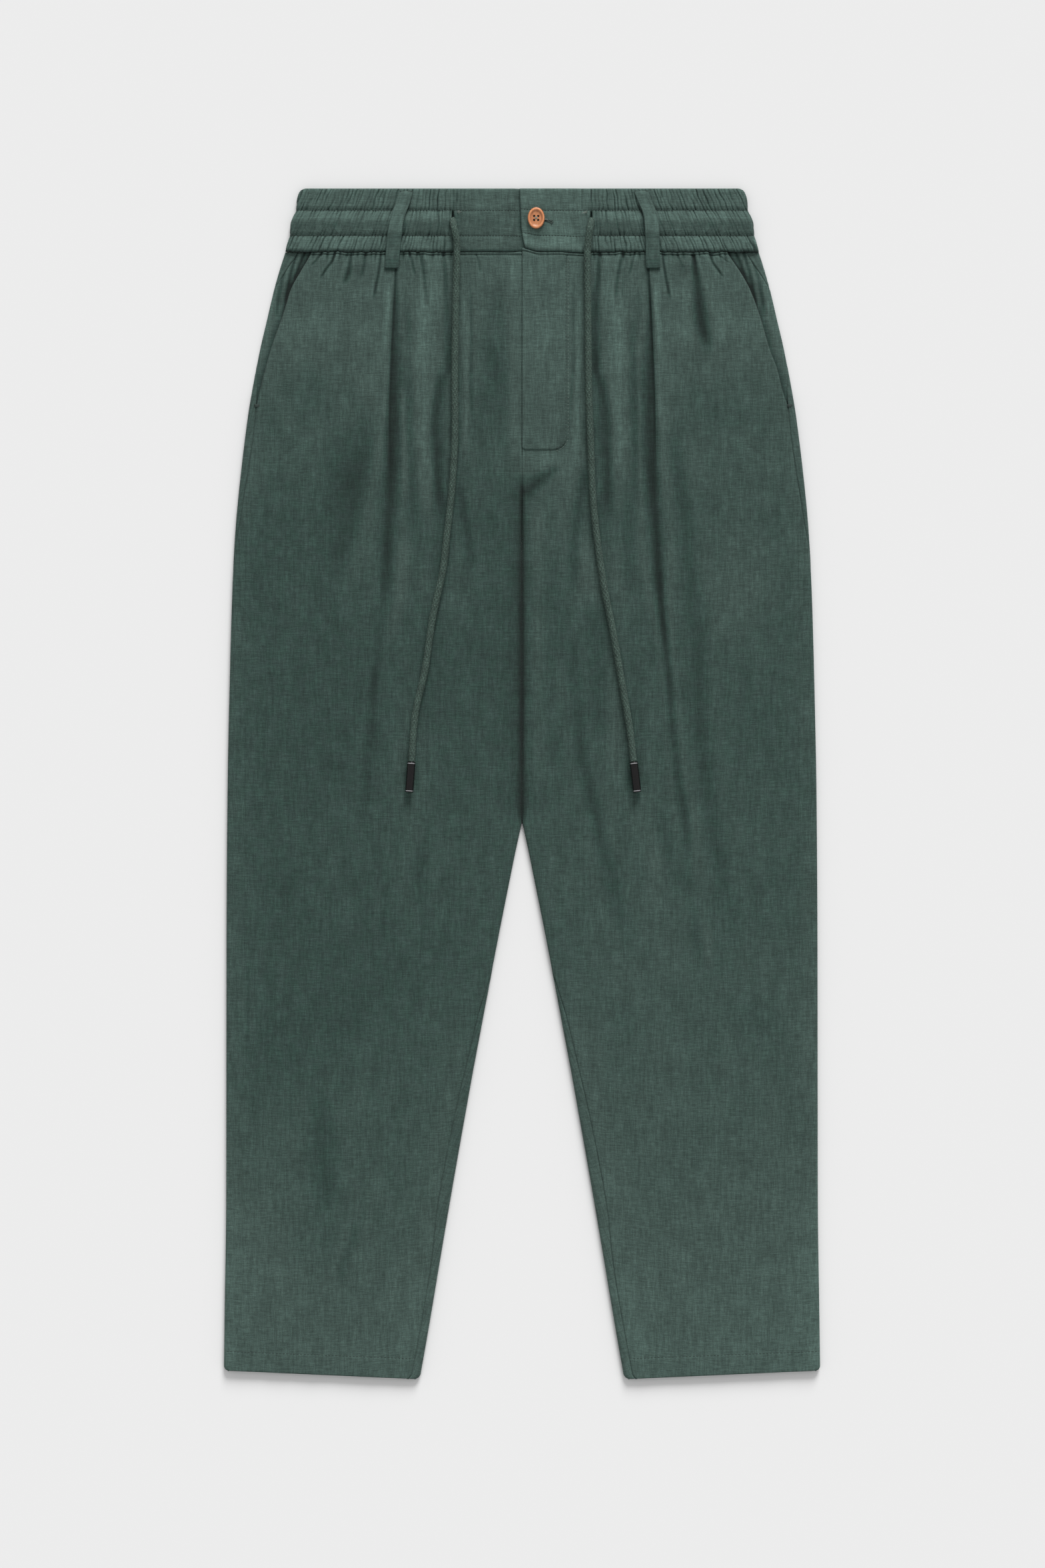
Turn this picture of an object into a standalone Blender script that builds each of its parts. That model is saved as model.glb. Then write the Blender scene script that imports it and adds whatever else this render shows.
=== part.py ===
"""Linen drawstring trousers, laid flat with the front up.

World frame in metres: +X is the wearer's left, +Y runs from the hems to the waist and +Z is up. The
trousers lie on Z = 0, with the origin under the middle of their outline. Sizes and tables here are in
millimetres. "drop" is the distance down from the waistband's top edge, and "out" is the distance from
the centre line towards the side seam.

Each leg is a flattened tube. Its skin is followed by the distance s from the outermost line of a
rounded edge: s > 0 runs over the edge onto the front, and s < 0 runs under it onto the back.
"""

import math

import bmesh
import bpy
import numpy as np
from mathutils import Vector

MM = 0.001
RIGHT, LEFT = -1, 1
SIDE_NAMES = {RIGHT: "right", LEFT: "left"}

# Driving dimensions
LENGTH = 1020.0
SEAM_GAP = 0.3
BACK_WALL = 1.2
FRONT_WALL = 1.6
FRONT_LEVEL = 4.8
FACING_WALL = 1.2
POCKET_LEVEL = 2.7
SIDE_REACH = 3.0
CROTCH_REACH = 9.0
CROTCH_DROPS = (560.0, 660.0)
FRONT_GROOVE_DROPS = (248.0, 318.0)
BACK_GROOVE_DROPS = (284.0, 318.0)
QUARTER = 4.0
PLY_GAP = 0.15
FLAT_START = 4.0
HEM_DEPTH = 18.0
HEM_STEP = 0.3
HEM_CORNER = 4.0
HEM_SLANT = 7.3
HEM_SLANT_DROP = 900.0
HEM_OUTS = (92.0, 256.0)

WAIST_DROP = 55.4
WAIST_BAND_WALL = 1.6
WAIST_BAND_LEVEL = 5.2
WAIST_BAND_INSIDE = 3.2
CENTRE_SEAM = 59.2
GATHERS_PER_SIDE = 36
GATHER_HEIGHT = 0.42
GATHER_UNEVENNESS = 0.3
FRONT_GATHER_RISE = 0.35
FRONT_GATHER_DEPTHS = (0.5, 0.75)
FRONT_GATHER_LENGTHS = (16.0, 30.0)
FRONT_GATHER_OUTS = (46.0, 60.0)
WAIST_TUCK = 0.25
UNDERLAP_LEVEL = 3.5
UNDERLAP_END = 28.0
OVERLAP_LEVEL = 5.7
OVERLAP_EDGE = -0.7
SLOT_OUTWARDS = 3.1
SLOT_INWARDS = 3.8
SLOT_DROPS = (20.5, 34.0)
SLOT_PUFF = 0.35
SLOT_EASING = (0.0, 12.0)
UNDERLAP_STEP = (-9.0, -1.6)
OVERLAP_STEP = (30.0, 50.0)
OVERLAP_CORNER = 5.0
OVERLAP_CORNER_END = 7.0

POCKET_FOOT = 185.5
FACING_OVERLAP = 14.0
FACING_FOOT = 196.0
FACING_EASING = (169.0, 185.5)
FLY_EDGE = 0.6
FLY_WIDTH = 38.0
FLY_FOOT = 224.0
FLY_CORNER = 12.0
FLY_WALL = 1.0

LOOP_WIDTH = 12.2
LOOP_WALL = 1.2
LOOP_DROPS = (2.6, 68.6)
LOOP_STANDOFF = 0.9
LOOP_HEM = 6.0
LOOP_HEM_SHARE = 0.6

BUTTON_SIZE = (14.6, 18.6)
BUTTON_THICKNESS = 3.2
BUTTON_PLACE = (12.1, 25.8)
BUTTON_HOLE_RADIUS = 0.95
BUTTON_HOLES = (1.45, 1.85)

CORD_DIAMETER = 5.6
CORD_SPACING = 13.0
CORD_SEAT = (7.0, 14.0)
AGLET_LENGTH = 26.0
AGLET_RADIUS = 3.85

SHARP_ANGLE = 25

# Outline of the whole garment. Columns: drop, half width
OUTLINE = (
    (0.0, 187.3),
    (2.0, 190.1),
    (6.0, 192.2),
    (11.0, 193.1),
    (18.7, 193.6),
    (24.0, 196.2),
    (30.5, 198.4),
    (40.4, 199.1),
    (46.0, 200.9),
    (55.4, 203.4),
    (69.4, 207.8),
    (90.0, 213.6),
    (113.0, 219.0),
    (136.0, 224.4),
    (158.0, 228.7),
    (193.0, 234.7),
    (238.0, 240.4),
    (290.0, 245.5),
    (341.0, 248.4),
    (418.0, 250.7),
    (521.0, 252.7),
    (638.0, 253.5),
    (866.0, 253.8),
    (958.0, 255.0),
    (1020.0, 255.8),
)

# Inner edge of a leg. Columns: drop, distance from the centre line
INNER_EDGE = (
    (0.0, 0.3),
    (543.0, 0.3),
    (569.6, 5.7),
    (592.4, 10.3),
    (638.0, 19.4),
    (752.0, 41.1),
    (866.0, 61.4),
    (980.0, 80.5),
    (1020.0, 87.6),
)

# How far the back panel wraps over the side edge onto the front. Columns: drop, wrap
SIDE_WRAP = (
    (0.0, 12.0),
    (55.4, 10.4),
    (72.0, 5.2),
    (90.0, 0.0),
    (150.0, 0.0),
    (168.0, 3.4),
    (185.5, 5.7),
    (215.0, 6.9),
    (238.0, 6.3),
    (268.0, 4.6),
    (290.0, 2.9),
    (312.0, 0.4),
    (330.0, 0.0),
    (1020.0, 0.0),
)

# The same over the inner edge of each leg. Columns: drop, wrap
INSEAM_WRAP = (
    (0.0, 0.0),
    (668.0, 0.0),
    (707.0, 4.6),
    (752.0, 6.9),
    (809.0, 9.4),
    (866.0, 10.2),
    (918.0, 7.4),
    (946.0, 6.9),
    (1020.0, 7.8),
)

# Edge of the slant pocket. Columns: drop, out on the right, out on the left
POCKET_EDGE = (
    (0.0, 160.0, 156.0),
    (55.4, 181.0, 176.5),
    (70.5, 189.5, 186.5),
    (86.0, 198.0, 195.2),
    (108.0, 204.9, 203.5),
    (138.0, 215.4, 212.4),
    (155.0, 220.2, 218.9),
    (174.0, 225.0, 223.6),
    (185.5, 227.8, 227.6),
)

# Fold edge of the pleat below each belt loop, and the height of its step.
# Columns: drop, out, height
PLEAT = (
    (55.4, 108.2, 0.9),
    (70.5, 109.1, 1.4),
    (103.0, 110.8, 1.3),
    (140.0, 112.5, 1.1),
    (192.0, 114.2, 0.9),
    (258.0, 114.8, 0.7),
    (310.0, 117.6, 0.5),
    (359.0, 121.0, 0.25),
    (410.0, 125.0, 0.0),
    (543.0, 132.0, 0.0),
    (700.0, 145.0, 0.0),
    (1020.0, 172.0, 0.0),
)

# Soft folds of the fronts: ridges stand up and troughs sink in.
# Columns: side, out at the top, drop at the top, out at the foot, drop at the foot, spread, height
FOLDS = (
    (RIGHT, 101.0, 66.0, 104.0, 330.0, 7.0, -0.50),
    (RIGHT, 89.0, 70.0, 94.0, 400.0, 7.0, 0.75),
    (RIGHT, 70.0, 80.0, 76.0, 330.0, 6.0, -0.45),
    (RIGHT, 45.0, 70.0, 43.0, 300.0, 8.0, 0.45),
    (RIGHT, 22.0, 120.0, 26.0, 260.0, 8.0, -0.35),
    (RIGHT, 124.0, 62.0, 135.0, 104.0, 4.0, -0.50),
    (RIGHT, 144.0, 255.0, 164.0, 325.0, 6.0, -0.45),
    (RIGHT, 132.0, 190.0, 146.0, 420.0, 12.0, 0.55),
    (RIGHT, 50.0, 245.0, 40.0, 330.0, 6.0, -0.40),
    (LEFT, 102.0, 66.0, 105.0, 340.0, 7.0, -0.50),
    (LEFT, 86.0, 70.0, 92.0, 380.0, 8.0, 0.70),
    (LEFT, 66.0, 80.0, 68.0, 300.0, 5.0, -0.45),
    (LEFT, 47.0, 100.0, 50.0, 280.0, 6.0, 0.50),
    (LEFT, 153.0, 78.0, 160.0, 150.0, 6.0, -0.55),
    (LEFT, 130.0, 215.0, 144.0, 360.0, 5.0, -0.45),
    (LEFT, 136.0, 190.0, 152.0, 430.0, 10.0, 0.60),
    (LEFT, 54.0, 235.0, 40.0, 330.0, 6.0, -0.45),
)
FOLD_FADE_IN = 0.15
FOLD_FADE_OUT = 0.5
MOST_RISE = 1.4
MOST_SINK = -0.55
CENTRE_EASING = (2.0, 10.0)
SIDE_EASING = (0.0, 12.0)

# Widths over which a pleat's step fades behind and before its fold edge, and how steep the step is
PLEAT_BACK = 17.0
PLEAT_FRONT = 9.0
PLEAT_SINK = 0.3
PLEAT_STEEPNESS = 0.8

# Puffed rows of the waistband, between two lines of stitches. Columns: drop, rise
BAND_ROWS = (
    (0.0, -1.0),
    (3.0, 0.1),
    (15.6, 0.1),
    (18.7, -0.6),
    (22.0, 0.7),
    (29.5, 1.2),
    (37.2, 0.7),
    (40.4, -0.6),
    (43.4, 0.0),
    (51.6, 0.1),
    (55.4, -0.6),
)
PLAIN_PUFF = 0.3

# Places across the plain centre pieces, where they step down and round off
UNDERLAP_PLACES = (-48.0, -30.0, -14.0, -9.0, -7.0, -5.0, -3.0, -1.6, 10.0, UNDERLAP_END)
OVERLAP_PLACES = (OVERLAP_EDGE, 1.0, 3.0, 5.0, 8.0, 18.0, 30.0, 35.0, 40.0, 45.0, 50.0)

# Drops of the rows of points down each panel
FRONT_ROWS = (
    *(55.7, 58.0, 62.0, 68.0, 76.0, 86.0, 98.0, 112.0, 128.0, 146.0, 166.0, 185.5),
    *(206.0, 228.0, 252.0, 272.0, 290.0, 306.0, 322.0, 342.0, 368.0, 400.0, 440.0),
    *(490.0, 543.0, 575.0, 620.0, 668.0, 715.0, 760.0, 820.0, 880.0, 940.0, 1001.2),
    *(1002.4, 1016.0, 1018.8, 1020.0),
)
POCKET_ROWS = (55.7, 72.0, 90.0, 112.0, 135.0, 150.0, 168.0, 177.0)
FLY_ROWS = (56.0, 62.0, 80.0, 110.0, 150.0, 190.0, 205.0)
BACK_ROWS = POCKET_ROWS + tuple(drop for drop in FRONT_ROWS if drop >= POCKET_FOOT)
EDGE_STEPS = (0.15, 1.4, 2.8, 4.6)
INNER_COLUMNS = 16
OUTER_COLUMNS = 17

# Drawstring routes, seen from above. Columns: x, drop
CORD_ROUTES = {
    RIGHT: (
        (-59.5, 23.6),
        (-58.6, 33.0),
        (-55.8, 48.0),
        (-56.2, 75.0),
        (-56.9, 103.0),
        (-57.6, 158.0),
        (-57.5, 212.0),
        (-60.1, 258.0),
        (-64.7, 300.0),
        (-68.1, 329.0),
        (-76.7, 369.0),
        (-83.0, 412.0),
        (-91.5, 451.0),
        (-94.6, 491.0),
    ),
    LEFT: (
        (59.5, 23.6),
        (58.6, 33.0),
        (56.5, 48.0),
        (55.8, 63.0),
        (56.2, 85.0),
        (56.9, 158.0),
        (58.4, 209.0),
        (60.9, 267.0),
        (64.9, 305.0),
        (70.1, 340.0),
        (77.4, 377.0),
        (83.0, 409.0),
        (91.8, 460.0),
        (95.5, 491.0),
    ),
}

# Middle line of each belt loop. Columns: drop, x on the right, x on the left
LOOP_LINE = (
    (2.6, -99.2, 102.0),
    (12.0, -102.0, 105.6),
    (25.0, -106.6, 110.4),
    (40.0, -109.2, 111.6),
    (55.0, -110.6, 112.0),
    (68.6, -111.8, 112.3),
)
LOOP_ROWS = (2.6, 8.0, 14.0, 20.0, 26.0, 32.0, 38.0, 44.0, 50.0, 57.0, 64.0, 68.6)

# Turned outline of an aglet, from the cord's end. Columns: share of the length, share of the radius
AGLET_PROFILE = (
    (0.0, 0.86),
    (0.02, 0.98),
    (0.09, 1.0),
    (0.12, 0.92),
    (0.16, 0.9),
    (0.86, 0.9),
    (0.89, 0.97),
    (0.95, 1.0),
    (0.985, 0.95),
    (1.0, 0.8),
)

# Turned outline of the button, from the middle of its face. Columns: share of the radius, height
BUTTON_PROFILE = (
    (0.5, 2.0),
    (0.62, 2.15),
    (0.72, 2.75),
    (0.84, 3.2),
    (0.95, 2.9),
    (1.0, 2.2),
    (0.97, 1.2),
    (0.8, 0.4),
    (0.55, 0.0),
)

# Finishes. Columns: sRGB red, green and blue, roughness, metallic
FINISHES = {
    "woven linen": (64, 84, 79, 0.9, 0.0),
    "cotton braid": (70, 84, 76, 0.92, 0.0),
    "corozo": (205, 132, 88, 0.45, 0.0),
    "black lacquered metal": (40, 36, 38, 0.3, 0.9),
}


def clear_scene():
    for item in list(bpy.data.objects):
        bpy.data.objects.remove(item, do_unlink=True)


def to_linear(channel):
    share = channel / 255
    return share / 12.92 if share <= 0.04045 else ((share + 0.055) / 1.055) ** 2.4


def finish(name):
    """The named Principled material, made once."""
    if name in bpy.data.materials:
        return bpy.data.materials[name]
    red, green, blue, roughness, metallic = FINISHES[name]
    material = bpy.data.materials.new(name)
    material.use_nodes = True
    shader = material.node_tree.nodes["Principled BSDF"]
    shader.inputs["Base Color"].default_value = (*map(to_linear, (red, green, blue)), 1)
    shader.inputs["Roughness"].default_value = roughness
    shader.inputs["Metallic"].default_value = metallic
    return material


def along(table, at, column=1):
    """The table's column at the given place, on a smooth curve that never overshoots its rows."""
    rows = np.array(table, float)
    places, values = rows[:, 0], rows[:, column]
    gaps = np.diff(places)
    slopes = np.diff(values) / gaps
    tangents = np.zeros(len(places))
    same_way = slopes[:-1] * slopes[1:] > 0
    inner = np.zeros(len(slopes) - 1)
    inner[same_way] = 2 / (1 / slopes[:-1][same_way] + 1 / slopes[1:][same_way])
    tangents[1:-1] = inner
    tangents[0], tangents[-1] = slopes[0], slopes[-1]
    where = np.clip(at, places[0], places[-1])
    k = np.clip(np.searchsorted(places, where, side="right") - 1, 0, len(gaps) - 1)
    t = (where - places[k]) / gaps[k]
    rise = (1 + 2 * t) * (1 - t) ** 2 * values[k] + t**2 * (3 - 2 * t) * values[k + 1]
    lean = t * (1 - t) ** 2 * tangents[k] - t**2 * (1 - t) * tangents[k + 1]
    return rise + lean * gaps[k]


def eased(low, high, value):
    """0 below low, 1 above high, and a smooth step between them."""
    t = np.clip((value - low) / (high - low), 0, 1)
    return t * t * (3 - 2 * t)


def wrap_to_skin(wrap, reach):
    """Distance s along the skin of a line that lies this far in from the outline, seen from above."""
    if wrap >= reach:
        return QUARTER + wrap - reach
    return QUARTER * math.acos(1 - wrap / reach) / (math.pi / 2)


def on_skin(s, centre, towards, reach, level, wall, top, ply):
    """Outer and inner (out, z) at distance s, on an edge rounded about the line at out = centre.

    The plies over and under the seam, +1 and -1, each keep clear of it by half the seam's gap.
    """
    angle = np.clip(s / QUARTER, -1, 1) * math.pi / 2
    run = max(abs(s) - QUARTER, 0)
    middle = level / 2 + ply * SEAM_GAP / 2
    half = top - middle if s > 0 else middle
    across, up = math.cos(angle), math.sin(angle)
    outer = (centre + towards * (reach * across - run), middle + half * up)
    inner = (centre + towards * ((reach - wall) * across - run), middle + (half - wall) * up)
    return outer, inner


def fold_height(side, out, drop):
    """Rise of a front above its plain level, from its pleat and soft folds."""
    total = 0.0
    for fold_side, out_top, drop_top, out_foot, drop_foot, spread, height in FOLDS:
        share = (drop - drop_top) / (drop_foot - drop_top)
        if fold_side != side or not 0 < share < 1:
            continue
        middle = out_top + (out_foot - out_top) * share
        fade = eased(0, FOLD_FADE_IN, share) * (1 - eased(FOLD_FADE_OUT, 1, share))
        total += height * fade * math.exp(-(((out - middle) / spread) ** 2))
    edge = along(PLEAT, drop)
    step = along(PLEAT, drop, 2)
    if out >= edge:
        total += step * math.exp(-(((out - edge) / PLEAT_BACK) ** 2))
    else:
        total -= PLEAT_SINK * step * math.exp(-(((out - edge) / PLEAT_FRONT) ** 2))
    near_centre = eased(*CENTRE_EASING, out)
    near_side = eased(*SIDE_EASING, along(OUTLINE, drop) - out)
    return max(MOST_SINK, min(MOST_RISE, total * near_centre * near_side))


def waist_tuck(drop):
    """How far a front sinks where it runs into the waist seam."""
    return WAIST_TUCK * (1 - eased(0, 5, drop - WAIST_DROP))


def hem_rise(drop):
    """Step up of the outer cloth where the hem is turned up under it."""
    edge = LENGTH - HEM_DEPTH
    return HEM_STEP * eased(edge - 0.6, edge + 0.2, drop)


def front_gather(column, out, drop):
    """Rise of the short gathers below the waist seam: every third column sinks, the rest puff up."""
    shortest, longest = FRONT_GATHER_LENGTHS
    shallow, deep = FRONT_GATHER_DEPTHS
    length = shortest + (longest - shortest) * abs(math.sin(2.1 * column))
    sunk = shallow + (deep - shallow) * abs(math.cos(1.3 * column))
    fade = (1 - eased(0.1, 1, (drop - WAIST_DROP) / length)) * eased(*FRONT_GATHER_OUTS, out)
    return fade * (-sunk if column % 3 == 0 else FRONT_GATHER_RISE)


def hem_slant(drop, out):
    """Drop of a point of a row, as the hem runs lower at the inseam than at the side."""
    if drop <= HEM_SLANT_DROP:
        return drop
    inseam, side = HEM_OUTS
    lift = HEM_SLANT * np.clip((out - inseam) / (side - inseam), 0, 1)
    return drop - lift * (drop - HEM_SLANT_DROP) / (LENGTH - HEM_SLANT_DROP)


def hem_inset(drop):
    """Rounding of the hem's two corners."""
    over = max(drop - (LENGTH - HEM_CORNER), 0)
    return HEM_CORNER - math.sqrt(HEM_CORNER**2 - over**2)


def missing_turn(drop, groove_drops):
    """Angle that an edge still lacks, where a flat centre seam turns into the leg's round edge."""
    return (1 - eased(*groove_drops, drop)) * math.pi / 2


def world(side, out, drop, z):
    return Vector((side * out, LENGTH / 2 - drop, z)) * MM


def sheet(name, outer, inner, material="woven linen"):
    """A closed wall between two grids of points, which share their rows and columns."""
    bm = bmesh.new()
    layers = [[[bm.verts.new(p) for p in row] for row in grid] for grid in (outer, inner)]
    rows, columns = len(outer), len(outer[0])
    for layer in layers:
        for i in range(rows - 1):
            for j in range(columns - 1):
                a, b = layer[i][j], layer[i][j + 1]
                bm.faces.new((a, b, layer[i + 1][j + 1], layer[i + 1][j]))
    rim = [(0, j) for j in range(columns)]
    rim += [(i, columns - 1) for i in range(1, rows)]
    rim += [(rows - 1, j) for j in range(columns - 2, -1, -1)]
    rim += [(i, 0) for i in range(rows - 2, 0, -1)]
    for here, there in zip(rim, rim[1:] + rim[:1]):
        (i, j), (k, m) = here, there
        bm.faces.new((layers[0][i][j], layers[0][k][m], layers[1][k][m], layers[1][i][j]))
    bmesh.ops.recalc_face_normals(bm, faces=bm.faces)
    return placed_mesh(name, bm, material)


def placed_mesh(name, bm, material):
    mesh = bpy.data.meshes.new(name)
    bm.to_mesh(mesh)
    bm.free()
    mesh.shade_smooth()
    mesh.set_sharp_from_angle(angle=math.radians(SHARP_ANGLE))
    mesh.materials.append(finish(material))
    item = bpy.data.objects.new(name, mesh)
    bpy.data.collections["linen_trousers"].objects.link(item)
    return item


def front_section(side, drop):
    """Points across a front at one drop, from the centre to the side: (outer, inner) pairs."""
    inset = hem_inset(drop)
    reach = CROTCH_REACH + (SIDE_REACH - CROTCH_REACH) * eased(*CROTCH_DROPS, drop)
    missing = missing_turn(drop, FRONT_GROOVE_DROPS)
    inner_edge = along(INNER_EDGE, drop) + inset
    centre = inner_edge + reach * math.cos(missing)
    wrapped = wrap_to_skin(along(INSEAM_WRAP, drop), reach)
    start = max(QUARTER * missing / (math.pi / 2), wrapped)

    def top(out):
        rise = fold_height(side, out, drop) - waist_tuck(drop) + hem_rise(drop)
        return FRONT_LEVEL + rise

    section = []
    for step in EDGE_STEPS:
        place = (start + step, centre, -1, reach, FRONT_LEVEL, FRONT_WALL)
        out = on_skin(*place, FRONT_LEVEL, 1)[0][0]
        section.append(on_skin(*place, top(out), 1))
    far = []
    if drop < POCKET_FOOT:
        edge = along(POCKET_EDGE, drop, 1 if side == RIGHT else 2)
        for step in EDGE_STEPS:
            out = edge - step
            far.append(((out, top(out)), (out, FRONT_LEVEL - FRONT_WALL)))
    else:
        centre = along(OUTLINE, drop) - inset - SIDE_REACH
        start = wrap_to_skin(along(SIDE_WRAP, drop), SIDE_REACH)
        for step in EDGE_STEPS:
            place = (start + step, centre, 1, SIDE_REACH, FRONT_LEVEL, FRONT_WALL)
            out = on_skin(*place, FRONT_LEVEL, 1)[0][0]
            far.append(on_skin(*place, top(out), 1))
    pleat = along(PLEAT, drop)
    outs = [*np.linspace(section[-1][0][0], pleat - PLEAT_STEEPNESS, INNER_COLUMNS + 1)[1:]]
    outs += [*np.linspace(pleat, far[-1][0][0], OUTER_COLUMNS + 1)[:-1]]
    section += [((out, top(out)), (out, FRONT_LEVEL - FRONT_WALL)) for out in outs]
    return section + far[::-1]


def front_panel(side):
    outer, inner = [], []
    for drop in FRONT_ROWS:
        section = front_section(side, drop)
        last = len(section) - 1
        rows = [], []
        for column, pair in enumerate(section):
            edge = column in (0, 1, 2, last - 2, last - 1, last)
            rise = 0 if edge else front_gather(column, pair[0][0], drop)
            for row, (out, z), raised in zip(rows, pair, (rise, 0)):
                row.append(world(side, out, hem_slant(drop, out), z + raised))
        outer.append(rows[0])
        inner.append(rows[1])
    sheet(f"front_{SIDE_NAMES[side]}", outer, inner)


def side_level(drop):
    """Height of the rounded side edge: thinner beside the pocket, where the facing is the skin."""
    return POCKET_LEVEL + (FRONT_LEVEL - POCKET_LEVEL) * eased(*FACING_EASING, drop)


def back_panel(side):
    outer, inner = [], []
    for drop in BACK_ROWS:
        inset = hem_inset(drop)
        level = side_level(drop)
        missing = missing_turn(drop, BACK_GROOVE_DROPS)
        inner_edge = along(INNER_EDGE, drop) + inset
        centre = inner_edge + SIDE_REACH * math.cos(missing)
        wrapped = wrap_to_skin(along(INSEAM_WRAP, drop), SIDE_REACH)
        end = wrapped if missing == 0 else -QUARTER * missing / (math.pi / 2)
        stops = np.linspace(end - PLY_GAP, -QUARTER - FLAT_START, 7)
        places = [(s, centre, -1, FRONT_LEVEL) for s in stops]
        centre = along(OUTLINE, drop) - inset - SIDE_REACH
        end = wrap_to_skin(along(SIDE_WRAP, drop), SIDE_REACH)
        stops = np.linspace(-QUARTER, end - PLY_GAP, 7)
        places += [(s, centre, 1, level) for s in (-QUARTER - FLAT_START, *stops)]
        rows = [], []
        for s, centre, towards, level in places:
            pair = on_skin(s, centre, towards, SIDE_REACH, level, BACK_WALL, level, -1)
            for row, (out, z) in zip(rows, pair):
                row.append(world(side, out, hem_slant(drop, out), z))
        outer.append(rows[0])
        inner.append(rows[1])
    sheet(f"back_{SIDE_NAMES[side]}", outer, inner)


def pocket_facing(side):
    """The pocket's facing, one layer below the front, from under its slant edge to the side seam."""
    column = 1 if side == RIGHT else 2
    outer, inner = [], []
    for drop in (*POCKET_ROWS, POCKET_FOOT, FACING_FOOT):
        centre = along(OUTLINE, drop) - SIDE_REACH
        start = wrap_to_skin(along(SIDE_WRAP, drop), SIDE_REACH)
        inside = along(POCKET_EDGE, drop, column) - FACING_OVERLAP
        run = QUARTER + centre - inside
        stops = [*np.linspace(start + 0.2, max(QUARTER, start + 1), 5), run]
        rows = [], []
        for s in stops:
            pair = on_skin(
                s, centre, 1, SIDE_REACH, POCKET_LEVEL, FACING_WALL, POCKET_LEVEL, 1
            )
            for row, (out, z) in zip(rows, pair):
                row.append(world(side, out, drop, z))
        outer.append(rows[0])
        inner.append(rows[1])
    sheet(f"pocket_facing_{SIDE_NAMES[side]}", outer, inner)


def band_top(drop, puff=1.0):
    return WAIST_BAND_LEVEL + puff * along(BAND_ROWS, drop)


def gathered_top(out, drop):
    """Top of the gathered waistband, whose rows flatten towards the drawstring's slot."""
    return band_top(drop, SLOT_PUFF + (1 - SLOT_PUFF) * eased(*SLOT_EASING, out - CENTRE_SEAM))


def slot_width(drop, width):
    """This width where the slot for the drawstring is open, and none above and below it."""
    first, last = SLOT_DROPS
    return width if first <= drop <= last else 0.0


def band_rows():
    """Drops of the waistband's rows, with the two ends of the drawstring's slot."""
    rows = [drop for drop, _ in BAND_ROWS]
    rows[-1] = WAIST_DROP
    ends = [drop + nudge for drop in SLOT_DROPS for nudge in (-0.2, 0.2)]
    return sorted(rows + ends)


def elastic_band(side):
    """One half of the gathered waistband: over the front, round the side and under to centre back."""
    columns = 2 * GATHERS_PER_SIDE
    outer, inner = [], []
    for drop in band_rows():
        centre = along(OUTLINE, drop) - SIDE_REACH
        start = CENTRE_SEAM + SEAM_GAP / 2 + slot_width(drop, SLOT_OUTWARDS)
        rows = [], []
        for j in range(columns + 1):
            share = j / columns
            uneven = GATHER_UNEVENNESS * math.sin(2.3 * j) * (0 < j < columns)
            out = start + (centre - start) * (share + uneven / columns)
            wave = GATHER_HEIGHT * (1 if j % 2 else -1)
            z = gathered_top(out, drop) + wave * (0.8 + 0.2 * math.sin(1.7 * j))
            rows[0].append(world(side, out, drop, z))
            rows[1].append(world(side, out, drop, WAIST_BAND_INSIDE))
        top = band_top(drop)
        for s in np.linspace(QUARTER, -QUARTER, 7)[1:]:
            pair = on_skin(
                s, centre, 1, SIDE_REACH, WAIST_BAND_LEVEL, WAIST_BAND_WALL, top, 0
            )
            for row, (out, z) in zip(rows, pair):
                row.append(world(side, out, drop, z))
        for row, z in zip(rows, (0.0, WAIST_BAND_WALL)):
            row.append(world(side, SEAM_GAP / 2, drop, z))
        outer.append(rows[0])
        inner.append(rows[1])
    sheet(f"waistband_elastic_{SIDE_NAMES[side]}", outer, inner)


def centre_level(side, x, drop):
    """Top of the waistband's plain centre pieces."""
    level = band_top(drop, PLAIN_PUFF)
    if side == RIGHT:
        return level + (UNDERLAP_LEVEL - level) * eased(*UNDERLAP_STEP, x)
    return level + (OVERLAP_LEVEL - WAIST_BAND_LEVEL) * (1 - eased(*OVERLAP_STEP, x))


def overlap_foot(x):
    """Drop of the overlap's lower edge, whose corner is rounded off."""
    return WAIST_DROP - OVERLAP_CORNER * (1 - eased(OVERLAP_EDGE, OVERLAP_CORNER_END, x)) ** 2


def plain_band(side):
    """A plain centre piece of the waistband. The left one laps over the right one's extension."""
    outer, inner = [], []
    for drop in band_rows():
        end = CENTRE_SEAM - SEAM_GAP / 2 - slot_width(drop, SLOT_INWARDS)
        places = [-end, *UNDERLAP_PLACES] if side == RIGHT else [*OVERLAP_PLACES, end]
        rows = [], []
        for x in places:
            z = centre_level(side, x, drop)
            shortened = drop if side == RIGHT else drop * overlap_foot(x) / WAIST_DROP
            rows[0].append(world(1, x, shortened, z))
            rows[1].append(world(1, x, shortened, z - WAIST_BAND_WALL))
        outer.append(rows[0])
        inner.append(rows[1])
    sheet(f"waistband_plain_{SIDE_NAMES[side]}", outer, inner)


def cloth_top(x, drop):
    """Height of whatever cloth lies on top at a place of the front."""
    side = LEFT if x > 0 else RIGHT
    if drop <= WAIST_DROP:
        if abs(x) > CENTRE_SEAM:
            return gathered_top(abs(x), drop) + GATHER_HEIGHT
        return centre_level(side, x, drop)
    fade = 1 - eased(0, FRONT_GATHER_LENGTHS[1], drop - WAIST_DROP)
    gathers = FRONT_GATHER_RISE * fade * eased(*FRONT_GATHER_OUTS, abs(x))
    return FRONT_LEVEL + fold_height(side, abs(x), drop) + gathers


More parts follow.
